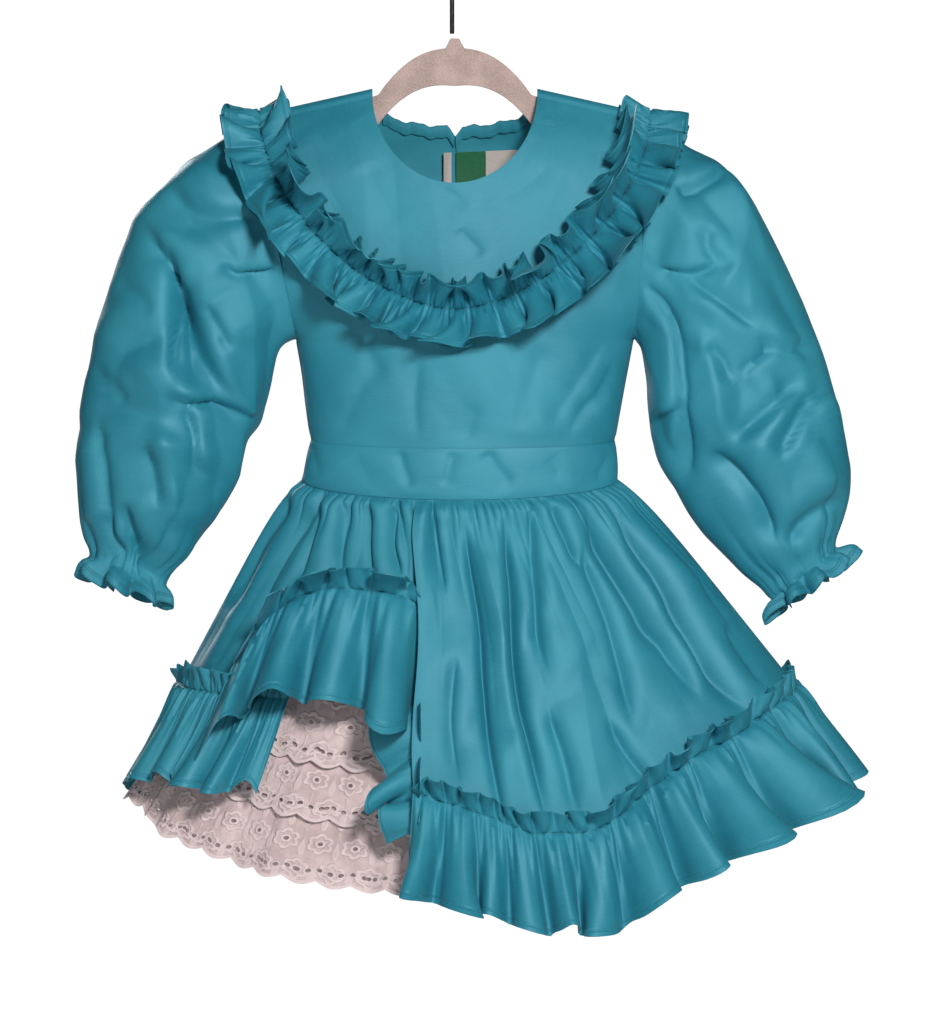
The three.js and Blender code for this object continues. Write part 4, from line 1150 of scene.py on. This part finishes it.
# %% The three panels
SEAM = math.radians(0.3)
Panel = namedtuple("Panel", "start end drops lift creases gathers seed")
PANELS = {
    "front": Panel(
        start=lambda drop: SEAM + 0 * drop,
        end=lambda drop: angle_at_x(fold_edge(drop), drop),
        drops=FRONT_DROPS,
        lift=lambda u, drop: FOLD_RISE * ease((u - 0.85) / 0.15) * ease(drop / 12),
        creases=SKIRT_CREASES,
        gathers=27,
        seed=51,
    ),
    "arch": Panel(
        start=lambda drop: angle_at_x(mix(TUCK_TOP, TUCK, ease(drop / 45)), drop),
        end=lambda drop: math.pi - SEAM + 0 * drop,
        drops=ARCH_DROPS,
        lift=lambda u, drop: -TUCK_DEPTH * (1 - ease(u / 0.25)) * ease(drop / 12),
        creases=ARCH_CREASES,
        gathers=15,
        seed=61,
    ),
    "back": Panel(
        start=lambda drop: math.pi + SEAM + 0 * drop,
        end=lambda drop: TURN - SEAM + 0 * drop,
        drops=BACK_DROPS,
        lift=lambda u, drop: 0 * u * drop,
        creases=(),
        gathers=38,
        seed=71,
    ),
}


# %% Where a panel's columns and its hem lie
def warp(angle):
    """Spreads a panel's columns evenly along the oval, whose front is longer than its sides."""
    return angle - SIDE_WARP * np.sin(2 * angle)


def panel_angle(panel, u, drop):
    target = mix(warp(panel.start(drop)), warp(panel.end(drop)), u)
    angle = target
    for _ in range(12):
        angle = target + SIDE_WARP * np.sin(2 * angle)
    return angle


def hem_drop(panel, u):
    """How far the skirt drops to its hem, read at the angle that the column has down there."""
    degrees_of = lambda drop: np.degrees(panel_angle(panel, u, drop))
    guess = through(*panel.drops, degrees_of(150.0 + 0 * u))
    return through(*panel.drops, degrees_of(guess))


# %% Folds and gathers of the skirt
def long_folds(panel, u, drop):
    """Troughs between the skirt's long folds where none is listed, uneven in every way."""
    random = np.random.default_rng(panel.seed)
    total = 0 * u * drop
    count = 13 if panel.creases == () else 7
    for k in range(count):
        middle = (k + 0.5 + random.uniform(-0.25, 0.25)) / count
        start, reach = random.uniform(0, 45), random.uniform(70, 260)
        lean, deep = random.uniform(-0.02, 0.02), random.uniform(3.0, 8.5)
        off = (u - middle - lean * drop / 150) * count
        size = random.uniform(0.16, 0.3)
        narrow = 0.55 * np.exp(-((off / size) ** 2)) + 0.45 * np.exp(-1.5 * abs(off) / size)
        run = ease((drop - start) / 25) * ease((start + reach - drop) / 60)
        total = total - deep * narrow * run
    return total * (1.0 if panel.creases == () else BESIDE_CREASES)


def skirt_surface(panel, u, drop, lift=0.0):
    """The skirt with its folds and gathers, at shares across a panel and drops below its seam."""
    angle = panel_angle(panel, u, drop)
    base = skirt_point(angle, drop, 0 * u)
    still = ease(u / 0.05) * ease((1 - u) / 0.05)
    height = crease_height(panel.creases, base[..., 0], base[..., 2])
    height = SKIRT_FOLD * height * ease(drop / 10)
    height = height + long_folds(panel, u, drop)
    height = height + crumple(base, 64, 3.2, panel.seed) * ease(drop / 30)
    n = panel.gathers
    span = 9.0 * n
    fine = gathers(u * span, drop, span, n, panel.seed, depth=5.0, reach=26, width=1.8)
    wide = gathers(u * span, drop, span, n // 3, panel.seed + 1, depth=5.5, reach=90, width=3.2)
    puff = 3.6 * np.exp(-(((drop - 7) / 8) ** 2))
    height = (height + (fine + wide + puff) * ease(drop / 4)) * still + panel.lift(u, drop) + lift
    out = stack(np.cos(angle), -np.sin(angle), 0 * angle)
    return skirt_point(angle, drop, 0 * u) + out * height[..., None]


def skirt_grid(panel, columns, rows):
    u = steps(columns)[None, :]
    drop = (steps(rows) ** 1.25)[:, None] * (hem_drop(panel, u) + 2)
    return skirt_surface(panel, u + 0 * drop, drop)


sew("skirt_front", skirt_grid(PANELS["front"], 380, 76), "gathered", ["waistband_front"])
sew("skirt_front_arch", skirt_grid(PANELS["arch"], 230, 52), "gathered", ["waistband_front"])
sew("skirt_back", skirt_grid(PANELS["back"], 340, 50), "gathered", ["waistband_back_right"])

# %% [markdown]
# ## Hem ruffle
# The hem's ruffle is stitched on top of the skirt, with a small standing heading. It uses the
# collar's ruffle with a deeper frill, on a line of stitches that follows the skirt's folds. On
# the arch it lifts clear of the side, where the end of the next ruffle hangs down behind it.

# %% The hem ruffle's line of stitches
HEM_HEADING, HEM_FRILL, HEM_FLARE, HEM_CLEAR = 16.0, 74.0, 0.01, 3.0


def hem_ruffle_grid(
    panel, from_u, to_u, waves, seed, drop=None, lift=None, calm=None, frill=HEM_FRILL, **shape
):
    drop_at = drop or (lambda u: hem_drop(panel, u))
    lift_at = lift or (lambda u: 0 * u)

    def stitching(u):
        return skirt_surface(panel, u, drop_at(u), HEM_CLEAR + lift_at(u))

    u = even_stations(stitching, from_u, to_u, 260)
    line = stitching(u)
    angle, fall = panel_angle(panel, u, drop_at(u)), drop_at(u)
    slope = unit(skirt_point(angle, fall + 5, 0 * u) - skirt_point(angle, fall, 0 * u))
    onward = np.gradient(skirt_point(angle, fall, 0 * u), axis=0)
    onward[:, 2] = 0
    out = unit(np.cross(onward, slope))
    radial = stack(np.cos(angle), -np.sin(angle), 0 * angle)
    out = out * np.sign((out * radial).sum(-1))[:, None]
    rest = None if calm is None else calm(u)
    stand = frill * HEM_FLARE
    return ruffle_grid(
        line, slope, out, waves, (HEM_HEADING, 6), (frill, 24), seed, stand=stand, calm=rest, split=2,
        **shape,
    )


def share_at(panel, angle, drop):
    """The share across a panel that lies at an angle, found by halving."""
    low, high = 0.0, 1.0
    for _ in range(30):
        middle = (low + high) / 2
        if panel_angle(panel, middle, drop) < angle:
            low = middle
        else:
            high = middle
    return low


# %% Hem ruffles of the four stretches
arch = PANELS["arch"]
arch_side = share_at(arch, math.radians(143), 110.0)
arch_fold = share_at(arch, float(angle_at_x(FOLD_EDGE + 5, 80.0)), 80.0)
side_hidden = share_at(arch, math.radians(128), 146.0)


def behind(u):
    return ease((arch_side - u) / (arch_side - side_hidden) / 0.35)


hem = {"finish": "hem_ruffle", "long": HEM_HEADING + HEM_FRILL}
FRONT_FLUTES = (30, 34, 48, 44, 46, 42, 36, 32, 26, 24, 28, 30)  # from the wearer's left seam to the fold
ARCH_FLUTES = (36, 30, 34, 44)  # from the fold to the side
loose = {
    "turns": 1.55,
    "lean": 0.35,
    "press": (1.3, 1.0),
    "pinch": 2.6,
    "tilt": (0.0, 0.5),
    "drip": 0.14,
    "rounded": (0.0, 0.75),
    "settle": 0.8,
}
pressed = {**loose, "press": (0.95, 0.8)}

front_calm = lambda u: mix(0.35, 1, ease(u / 0.15))
front_hem = hem_ruffle_grid(PANELS["front"], 0.0, 1.0, FRONT_FLUTES, 81, calm=front_calm, **loose)
sew("hem_ruffle_front", front_hem, "gathered", ["skirt_front"], **hem)

along_arch = lambda u: (u - arch_fold) / (arch_side - arch_fold)
arch_lift = lambda u: 9 * ease(along_arch(u))
arch_calm = lambda u: mix(0.4, 1, ease(along_arch(u) / 0.2))
arch_hem = hem_ruffle_grid(
    arch, arch_fold, arch_side, ARCH_FLUTES, 85, lift=arch_lift, calm=arch_calm, frill=86.0, **loose
)
sew("hem_ruffle_arch", arch_hem, "gathered", ["skirt_front_arch"], **hem)

side_drop = lambda u: 146 + 0 * u
side_lift = lambda u: -10 * behind(u)
side_calm = lambda u: (1 - 0.65 * behind(u + 0.06)) * mix(0.35, 1, ease((1 - u) / 0.3))
side_hem = hem_ruffle_grid(
    arch, side_hidden, 1.0, 7, 89, drop=side_drop, lift=side_lift, calm=side_calm, **loose
)
sew("hem_ruffle_side", side_hem, "gathered", ["skirt_front_arch"], **hem)

back_calm = lambda u: mix(0.35, 1, ease(u / 0.12) * ease((1 - u) / 0.12))
back_hem = hem_ruffle_grid(PANELS["back"], 0.0, 1.0, 14, 93, calm=back_calm, **pressed)
sew("hem_ruffle_back", back_hem, "gathered", ["skirt_back"], **hem)

# %% [markdown]
# ## The ruffle's cascade
# Where the lifted hem turns down again behind the fold, its ruffle hangs on edge. It is the same
# ruffle on a line that runs straight down, so its deep turns show as a zigzag beside the fold.

# %% Cascade
CASCADE_TOP, CASCADE_LOW, CASCADE_X = 146.0, 236.0, -25.0
CASCADE_REACH, CASCADE_BEHIND, CASCADE_FLUTES = 26.0, 6.0, (34, 30, 26)


def cascade_grid():
    drop = mix(CASCADE_TOP, CASCADE_LOW, steps(90))
    angle = angle_at_x(CASCADE_X, drop)
    line = skirt_point(angle, drop, FOLD_RISE - 2.0 - CASCADE_BEHIND)
    slope = unit(np.gradient(line, axis=0))
    out = unit(np.cross(slope, stack(1 + 0 * drop, 0, 0)))
    out = out * np.sign(-out[:, 1:2])
    away = unit(stack(-1 + 0 * drop, 0, -0.35))
    return ruffle_grid(
        line, away, out, CASCADE_FLUTES, (2.0, 1), (CASCADE_REACH, 14), 97, turns=1.7, lean=0.4,
        press=(0.9, 0.9), drip=0.2, tilt=(-0.4, 0.0),
    )


sew("hem_ruffle_cascade", cascade_grid(), "gathered", ["skirt_front_arch"], finish="hem_ruffle")

# %% [markdown]
# ## Lace
# The petticoat is pink cotton eyelet lace: a matt ground, embroidered all over with small flowers
# round an eyelet, with a row of eyelets and a satin-stitched scallop along each edge. A photograph
# of lace would tie the finish to one size, so the pattern is drawn as sums on the cloth's own
# coordinates, and only the scalloped outline is cut in the mesh.

# %% Embroidered lace
LACE_PALE = (0.750, 0.615, 0.615, 1)
LACE_GROUND = (0.650, 0.505, 0.505, 1)
# painted shade: the colour of the eyelets' dim inside and of soft darker patches on the ground
LACE_SHADE = (0.300, 0.190, 0.200, 1)
SCALLOP = 0.019
FLOWER_PITCH = 0.021


@cache
def lace():
    material, shader, start = new_finish("eyelet_lace", Sheen_Weight=0.15, Sheen_Roughness=0.6)
    _, u, v = on_the_cut(start)
    place = start.node("ShaderNodeTexCoord", output="Object")

    row = (v * (1 / FLOWER_PITCH)).math("FLOOR")
    shifted = u * (1 / FLOWER_PITCH) + row * 0.5
    x = shifted.math("FRACT") - 0.5
    y = (v * (1 / FLOWER_PITCH)).math("FRACT") - 0.5
    radius = (x * x + y * y).math("SQRT")
    angle = y.math("ARCTAN2", x)
    petals = (angle * 3.0).math("SINE").math("ABSOLUTE")
    flower = radius - petals * 0.10
    petal_ring = flower.band(0.24, 0.035, 0.05)
    centre_ring = radius.band(0.10, 0.03, 0.03)
    eyelet = radius.band(0.0, 0.055, 0.02)
    leaf = (x + 0.5 - 1.0 * (x + 0.5).math("ROUND")).math("ABSOLUTE")
    vine = (leaf + (y * 6.0).math("SINE") * 0.05).band(0.0, 0.03, 0.05)

    edge = (u * (math.pi / SCALLOP)).math("SINE").math("ABSOLUTE")
    rim = v.band(0.0012, 0.0014, 0.0010)
    arc = (v - edge * 0.003).band(0.0062, 0.0007, 0.0007)
    hole_u = (u * (1 / (SCALLOP / 3))).math("FRACT") - 0.5
    hole_v = (v - 0.0105) * (1 / (SCALLOP / 3))
    hole_r = (hole_u * hole_u + hole_v * hole_v).math("SQRT")
    edge_hole = hole_r.band(0.0, 0.20, 0.06)
    edge_ring = hole_r.band(0.30, 0.05, 0.07)

    satin = (u * 900.0 + v * 500.0).math("SINE") * 0.5 + 0.5
    thread = petal_ring.math("MAXIMUM", centre_ring).math("MAXIMUM", vine * 0.7)
    thread = thread.math("MAXIMUM", rim).math("MAXIMUM", arc).math("MAXIMUM", edge_ring)
    holes = eyelet.math("MAXIMUM", edge_hole)
    crinkle = noise(start, place, 170.0, 3.0)
    soft = noise(start, place, 30.0, 3.0)
    ground = (u.sine(0.0012) * v.sine(0.0012)).ramp(-1, 1)

    base = blend(start, crinkle.ramp(0.35, 0.65) * 0.6, LACE_GROUND, LACE_PALE)
    # Soft patches darkened towards the shade colour: painted shade, as of the crinkles.
    base = blend(start, soft.ramp(0.40, 0.62, 0.0, 0.35), base, LACE_SHADE)
    colour = blend(start, thread * (satin * 0.25 + 0.75), base, LACE_PALE)
    # Eyelets take the dark shade colour under the alpha that opens them: painted shade of the dim inside seen
    # through them.
    colour = blend(start, holes, colour, LACE_SHADE)
    wire(start, shader, "Base Color", colour)
    wire(start, shader, "Roughness", satin * 0.1 + 0.78)
    wire(start, shader, "Alpha", 1 - holes * 0.9)
    height = thread * 0.0006 + thread * satin * 0.0001 + crinkle * 0.0011 + soft * 0.002
    bump(start, shader, height + ground * 0.0001 - holes * 0.0006)
    return material


finishes["lace"] = lace

# %% [markdown]
# ## Petticoat
# Three tiers hang on one slimmer cone, each gathered and stitched under the edge of the tier
# above. The gathers are waves round the cone that grow towards each tier's edge, with finer
# ones near its stitching.

# %% Petticoat tiers
PETTI_SHIFT, PETTI_HALF, PETTI_DEPTH = -15.0, 217.0, 78.0
PETTI_SIDE_Z, PETTI_SAG = -620.0, 76.0
# Each row of a tier: how far down the cone it is, how far outside it, and how deep its waves are.
TIERS = {
    "petticoat_upper": ((0.0, 0.0, 0.0), (0.33, 0.0, 1.0), (0.63, 2.0, 0.5), (0.70, 5.0, 2.6)),
    "petticoat_middle": ((0.63, 0.3, 0.5), (0.72, 2.2, 1.2), (0.84, 6.0, 3.0)),
    "petticoat_lower": ((0.785, 2.1, 1.9), (0.88, 3.4, 2.4), (1.0, 7.0, 3.6)),
}


def petticoat_grid(tier, rows, seed):
    columns = 432
    a = (steps(columns) * TURN)[None, :]
    down_rows, offs, waves = (np.array(column) for column in zip(*tier))
    down = mix(down_rows[0], down_rows[-1], steps(rows))[:, None]
    off = through(down_rows, offs, down)
    wave = through(down_rows, waves, down)
    face = np.where(np.sin(a) >= 0, 1.0, BACK_SHARE)
    top = WAIST_Z - WAIST_DIP * abs(np.sin(a)) * face - 1.9
    low = PETTI_SIDE_Z - PETTI_SAG * (np.sin(a) ** 2 + 0.02) ** 0.6
    drift = 0.8 * np.sin(a * 3 + seed) + 0.5 * np.sin(a * 7)
    grown = ease((down - down_rows[0]) / (down_rows[-1] - down_rows[0]))
    lift = off + wave * (np.cos(12 * a) + 0.45 * np.cos(29 * a + drift) + 0.25 * np.cos(47 * a - drift))
    fine = (1 - grown) * 0.6 * np.cos(96 * a + 3 * drift) + 0.5 * np.cos(61 * a + 2 * drift)
    lift = lift + fine * ease((down - down_rows[0]) * 40)
    half = mix(SKIRT_HALF - 3, PETTI_HALF, down) + lift
    depth = mix(BODY_DEPTH - 3, PETTI_DEPTH, down) + lift
    x = SKIRT_X + PETTI_SHIFT * down + half * np.cos(a)
    z = mix(top, low, down)
    to_edge = (down_rows[-1] - down) / (down_rows[-1] - down_rows[0]) * (rows / 6)
    scallops = abs(np.sin(a * 27))
    z = z + (1 - scallops) * 4.0 * np.exp(-to_edge * 1.2)
    grid = stack(x, -depth * np.sin(a), z)
    grid[:, -1] = grid[:, 0]
    return grid


for seed, (node, rows) in enumerate(zip(TIERS, (34, 16, 20)), start=1):
    tier = petticoat_grid(TIERS[node], rows, seed)
    sew(node, tier, "gathered", ["waistband_front"], finish="lace", slot="lace", tube=True, thick=0.5)

# %% [markdown]
# ## Hanger
# The hanger's body is one flat arched bar, flocked so that cloth doesn't slip. A cube is drawn
# out to the bar's length, cut into columns, and each column is then slid and scaled into the
# arch, which is how it would be done by hand with the move and scale tools. The hook is a ring
# of wire pulled up and spun round two centres.

# %% Hanger sizes, and tools for it
ARM, ARM_THICK, CROWN_Z, UNDER_CLOTH, ARCH_HALF = 138.0, 5.0, -86.0, 2.9, 56.0
ARCH_TALL, ARM_TALL, TIP_TALL = 27.4, 21.0, 12.0


def arch_top(x):
    past = max(0.0, abs(x) - NECK_HALF)
    share = min(1.0, abs(x) / ARCH_HALF)
    return mix(CROWN_Z, NECK_Z - UNDER_CLOTH, share**2.4) - SHOULDER_SLOPE * past


def arch_tall(x):
    share = min(1.0, abs(x) / NECK_HALF)
    past = max(0.0, abs(x) - NECK_HALF) / (ARM - NECK_HALF)
    return mix(mix(ARCH_TALL, ARM_TALL, share), TIP_TALL, past)


def edit(piece, operation, **options):
    """Runs one mesh operator on what is selected, in edit mode."""
    bpy.context.view_layer.objects.active = piece
    bpy.ops.object.mode_set(mode="EDIT")
    operation(**options)
    bpy.ops.object.mode_set(mode="OBJECT")


def pick(piece, kind, wanted):
    """Selects just the vertices, edges or faces for which wanted(its middle in mm, itself) is true."""
    mesh = piece.data
    kinds = ("vertices", "edges", "polygons")
    bpy.context.tool_settings.mesh_select_mode = tuple(kind == one for one in kinds)
    for part in (mesh.vertices, mesh.edges, mesh.polygons):
        part.foreach_set("select", [False] * len(part))
    for part in getattr(mesh, kind):
        corners = [part.index] if kind == "vertices" else part.vertices
        middle = sum((mesh.vertices[i].co for i in corners), mesh.vertices[0].co * 0) / len(corners)
        if wanted(middle / MM, part):
            part.select = True
            for i in corners:
                mesh.vertices[i].select = True


# %% The arch
def hanger_body():
    bpy.ops.object.select_all(action="DESELECT")
    bpy.ops.mesh.primitive_cube_add(size=1, scale=(2 * ARM * MM, ARM_THICK * MM, MM))
    body = bpy.context.active_object
    body.name = body.data.name = "hanger_body_flocked"
    bpy.ops.object.transform_apply(location=True, rotation=True, scale=True)
    x_of = lambda index: body.data.vertices[index].co.x
    pick(body, "edges", lambda middle, e: abs(x_of(e.vertices[0]) - x_of(e.vertices[1])) > 0.1)
    edit(body, bpy.ops.mesh.subdivide, number_cuts=79)
    columns = sorted({round(v.co.x / MM, 3) for v in body.data.vertices})
    for column in columns:
        tall = arch_tall(column)
        middle = arch_top(column) - tall / 2
        pick(body, "vertices", lambda place, v: abs(place.x - column) < 0.01)
        edit(body, bpy.ops.transform.resize, value=(1, 1, tall), center_override=(0, 0, 0))
        edit(body, bpy.ops.transform.translate, value=(CENTRE_X * MM, 0, middle * MM))
    for side in (-1, 1):
        end = CENTRE_X + side * ARM
        pick(body, "edges", lambda m, e: abs(m.x - end) < 0.01 and abs(m.y) < 0.01)
        edit(body, bpy.ops.mesh.bevel, offset=4.5 * MM, segments=5, affect="EDGES")
    return body


body = hanger_body()
pick(body, "polygons", lambda m, f: f.normal.z > 0.5 and abs(m.x - CENTRE_X) < 6.5)
edit(body, bpy.ops.mesh.extrude_region_move, TRANSFORM_OT_translate={"value": (0, 0, 7 * MM)})
edit(body, bpy.ops.transform.resize, value=(0.45, 0.8, 0.2))
rounding = body.modifiers.new("rounding", "BEVEL")
rounding.width, rounding.segments, rounding.limit_method = 1.1 * MM, 3, "ANGLE"
bpy.ops.object.modifier_apply(modifier=rounding.name)
bpy.ops.object.shade_smooth_by_angle(angle=math.radians(50))
print("hanger body:", len(body.data.polygons), "faces")

# %% Hanger hook
WIRE, BEND, OPENING, FILLET = 3.4, 19.0, math.radians(62), 8.0
ring = BEND + WIRE / 2
foot = -75.7
turn_in = -BEND - math.sqrt((ring + FILLET) ** 2 - FILLET**2)
meet = math.acos(FILLET / (ring + FILLET))
bpy.ops.object.select_all(action="DESELECT")
bpy.ops.mesh.primitive_circle_add(vertices=14, radius=WIRE / 2 * MM, location=(0, 0, foot * MM))
hook = bpy.context.active_object
hook.name = hook.data.name = "hanger_hook_wire"
bpy.ops.object.transform_apply(location=True, rotation=True, scale=True)
bpy.context.tool_settings.mesh_select_mode = (True, False, False)
bpy.ops.object.mode_set(mode="EDIT")
bpy.ops.mesh.select_all(action="SELECT")
bpy.ops.mesh.extrude_region_move(TRANSFORM_OT_translate={"value": (0, 0, (turn_in - foot) * MM)})
bpy.ops.mesh.spin(steps=8, angle=meet, center=(FILLET * MM, 0, turn_in * MM), axis=(0, -1, 0))
sweep = math.pi + OPENING - math.pi / 3 + meet
bpy.ops.mesh.spin(steps=40, angle=sweep, center=(0, 0, -BEND * MM), axis=(0, 1, 0))
bpy.ops.mesh.select_all(action="SELECT")
bpy.ops.mesh.remove_doubles(threshold=1e-6)
bpy.ops.mesh.fill_holes(sides=20)
bpy.ops.mesh.normals_make_consistent(inside=False)
bpy.ops.object.mode_set(mode="OBJECT")
rounding = hook.modifiers.new("rounding", "BEVEL")
rounding.width, rounding.segments, rounding.limit_method = 0.5 * MM, 3, "ANGLE"
rounding.angle_limit = math.radians(60)
bpy.ops.object.modifier_apply(modifier=rounding.name)
bpy.ops.object.shade_smooth_by_angle(angle=math.radians(50))
print("hook:", len(hook.data.polygons), "faces")


# %% Hanger finishes
def flock():
    tint = {"Sheen_Weight": 0.7, "Sheen_Roughness": 0.5, "Sheen_Tint": (0.9, 0.75, 0.7, 1)}
    material, shader, start = new_finish("flock", **tint)
    place = start.node("ShaderNodeTexCoord", output="Object")
    fuzz = noise(start, place, 1400.0, 2.0)
    brushed = noise(start, place, 40.0, 4.0)
    base = blend(start, brushed.ramp(0.35, 0.65), (0.37, 0.27, 0.245, 1), (0.49, 0.37, 0.34, 1))
    colour = blend(start, fuzz.ramp(0.35, 0.7, 0.0, 0.35), base, (0.66, 0.53, 0.49, 1))
    wire(start, shader, "Base Color", colour)
    wire(start, shader, "Roughness", brushed.ramp(0.3, 0.7, 0.88, 0.98))
    bump(start, shader, fuzz * 0.0005 + brushed * 0.0004, strength=0.8)
    return material


def coated_wire():
    material, shader, start = new_finish("black_wire", Coat_Roughness=0.15)
    place = start.node("ShaderNodeTexCoord", output="Object")
    rubs = noise(start, place, 180.0, 4.0)
    worn = rubs.ramp(0.58, 0.72)
    colour = blend(start, worn, (0.010, 0.010, 0.012, 1), (0.045, 0.045, 0.05, 1))
    wire(start, shader, "Base Color", colour)
    wire(start, shader, "Roughness", rubs.ramp(0.3, 0.7, 0.26, 0.46))
    bump(start, shader, rubs * 0.0002, strength=0.6)
    return material


body.data.materials.append(flock())
hook.data.materials.append(coated_wire())
hang(body, "hanger_body")
hang(hook, "hanger_hook")

# %% [markdown]
# ## Stage, light and camera
# The dress hangs far in front of a white sheet. A small strong lamp stands in front, above the
# hook and a little to the right, so that each fold has a light side and a shadow under it, and a
# wide weak one at the left softens those shadows. A third lamp lights the back. The camera is
# level with the middle of the dress and far back, because a long lens keeps a hanging garment's
# proportions true.

# %% Stage
FLOOR_Z, WALL_Y = -0.86, 60.0
bpy.ops.object.select_all(action="DESELECT")
bpy.ops.mesh.primitive_plane_add(size=1, location=(0, 0, FLOOR_Z))
floor = bpy.context.active_object
floor.name = "floor"
floor.scale = (3, 3, 1)
floor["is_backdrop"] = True
behind_dress = (0, WALL_Y, FLOOR_Z + 2)
bpy.ops.mesh.primitive_plane_add(size=1, location=behind_dress, rotation=(math.pi / 2, 0, 0))
wall = bpy.context.active_object
wall.name = "backdrop"
wall.scale = (60, 60, 1)
wall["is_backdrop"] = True
wall.visible_diffuse = wall.visible_glossy = wall.visible_shadow = False
paper = new_finish("white_paper", Base_Color=(0.86, 0.86, 0.86, 1), Roughness=0.9)[0]
floor.data.materials.append(paper)
shine = {"Emission_Color": (1, 1, 1, 1), "Emission_Strength": 1.0}
glow = new_finish("lit_paper", Base_Color=(0.9, 0.9, 0.9, 1), Roughness=0.9, **shine)[0]
wall.data.materials.append(glow)
print("floor at z", FLOOR_Z, "and backdrop at y", WALL_Y)


# %% Lamps
def lamp(name, place, size, power, tint=(1, 1, 1)):
    data = bpy.data.lights.new(name, "AREA")
    data.shape, data.size, data.energy, data.color = "SQUARE", size, power, tint
    made_lamp = bpy.data.objects.new(name, data)
    bpy.context.scene.collection.objects.link(made_lamp)
    made_lamp.location = place
    aim = Vector((0.0, 0.0, -0.40)) - made_lamp.location
    made_lamp.rotation_euler = aim.to_track_quat("-Z", "Y").to_euler()


lamp("key", (0.55, -2.3, 0.45), 0.4, 53, (1.0, 0.98, 0.95))
lamp("fill", (-1.5, -1.8, -0.2), 1.4, 5.5, (0.96, 0.98, 1.0))
lamp("back", (-1.0, 2.2, 0.5), 0.6, 26)  # shows the back to anyone who walks round
world = bpy.data.worlds.new("studio")
bpy.context.scene.world = world
world.use_nodes = True
sky = world.node_tree.nodes["Background"]
sky.inputs["Color"].default_value = (0.95, 0.97, 1.0, 1)
sky.inputs["Strength"].default_value = 0.08
bpy.context.scene.view_settings.view_transform = "Standard"
print("lamps:", {light.name: light.energy for light in bpy.data.lights})

# %% Camera
IMAGE_HIGH, IMAGE_WIDE = 1034, 929
MM_PER_PIXEL = 0.72
CENTRE_PIXEL_X, TOP_Z = 452, -52.24  # the image column at x 0, and the height at the image's top row
DISTANCE, DRESS_FRONT, SENSOR = 12.0, 0.03, 36  # the scale holds at the middle of the dress's front
camera_data = bpy.data.cameras.new("camera")
camera = bpy.data.objects.new("camera", camera_data)
bpy.context.scene.collection.objects.link(camera)
camera.location = (
    (IMAGE_WIDE / 2 - CENTRE_PIXEL_X) * MM_PER_PIXEL * MM,
    -DISTANCE,
    (TOP_Z - IMAGE_HIGH / 2 * MM_PER_PIXEL) * MM,
)
camera.rotation_euler = (math.pi / 2, 0, 0)
camera_data.sensor_width = SENSOR
camera_data.lens = SENSOR * (DISTANCE - DRESS_FRONT) / (IMAGE_HIGH * MM_PER_PIXEL * MM)
bpy.context.scene.camera = camera
print("lens:", round(camera_data.lens, 1), "mm")

# %% Sizes, and the end
low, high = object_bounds()
for piece in made:
    piece.data.calc_loop_triangles()
print("pieces:", len(made), "triangles:", sum(len(piece.data.loop_triangles) for piece in made))
grown_low = [round((a - b) * 1000, 1) for a, b in zip(low, cad_low)]
grown_high = [round((a - b) * 1000, 1) for a, b in zip(high, cad_high)]
print("grown by (mm):", grown_low, grown_high)
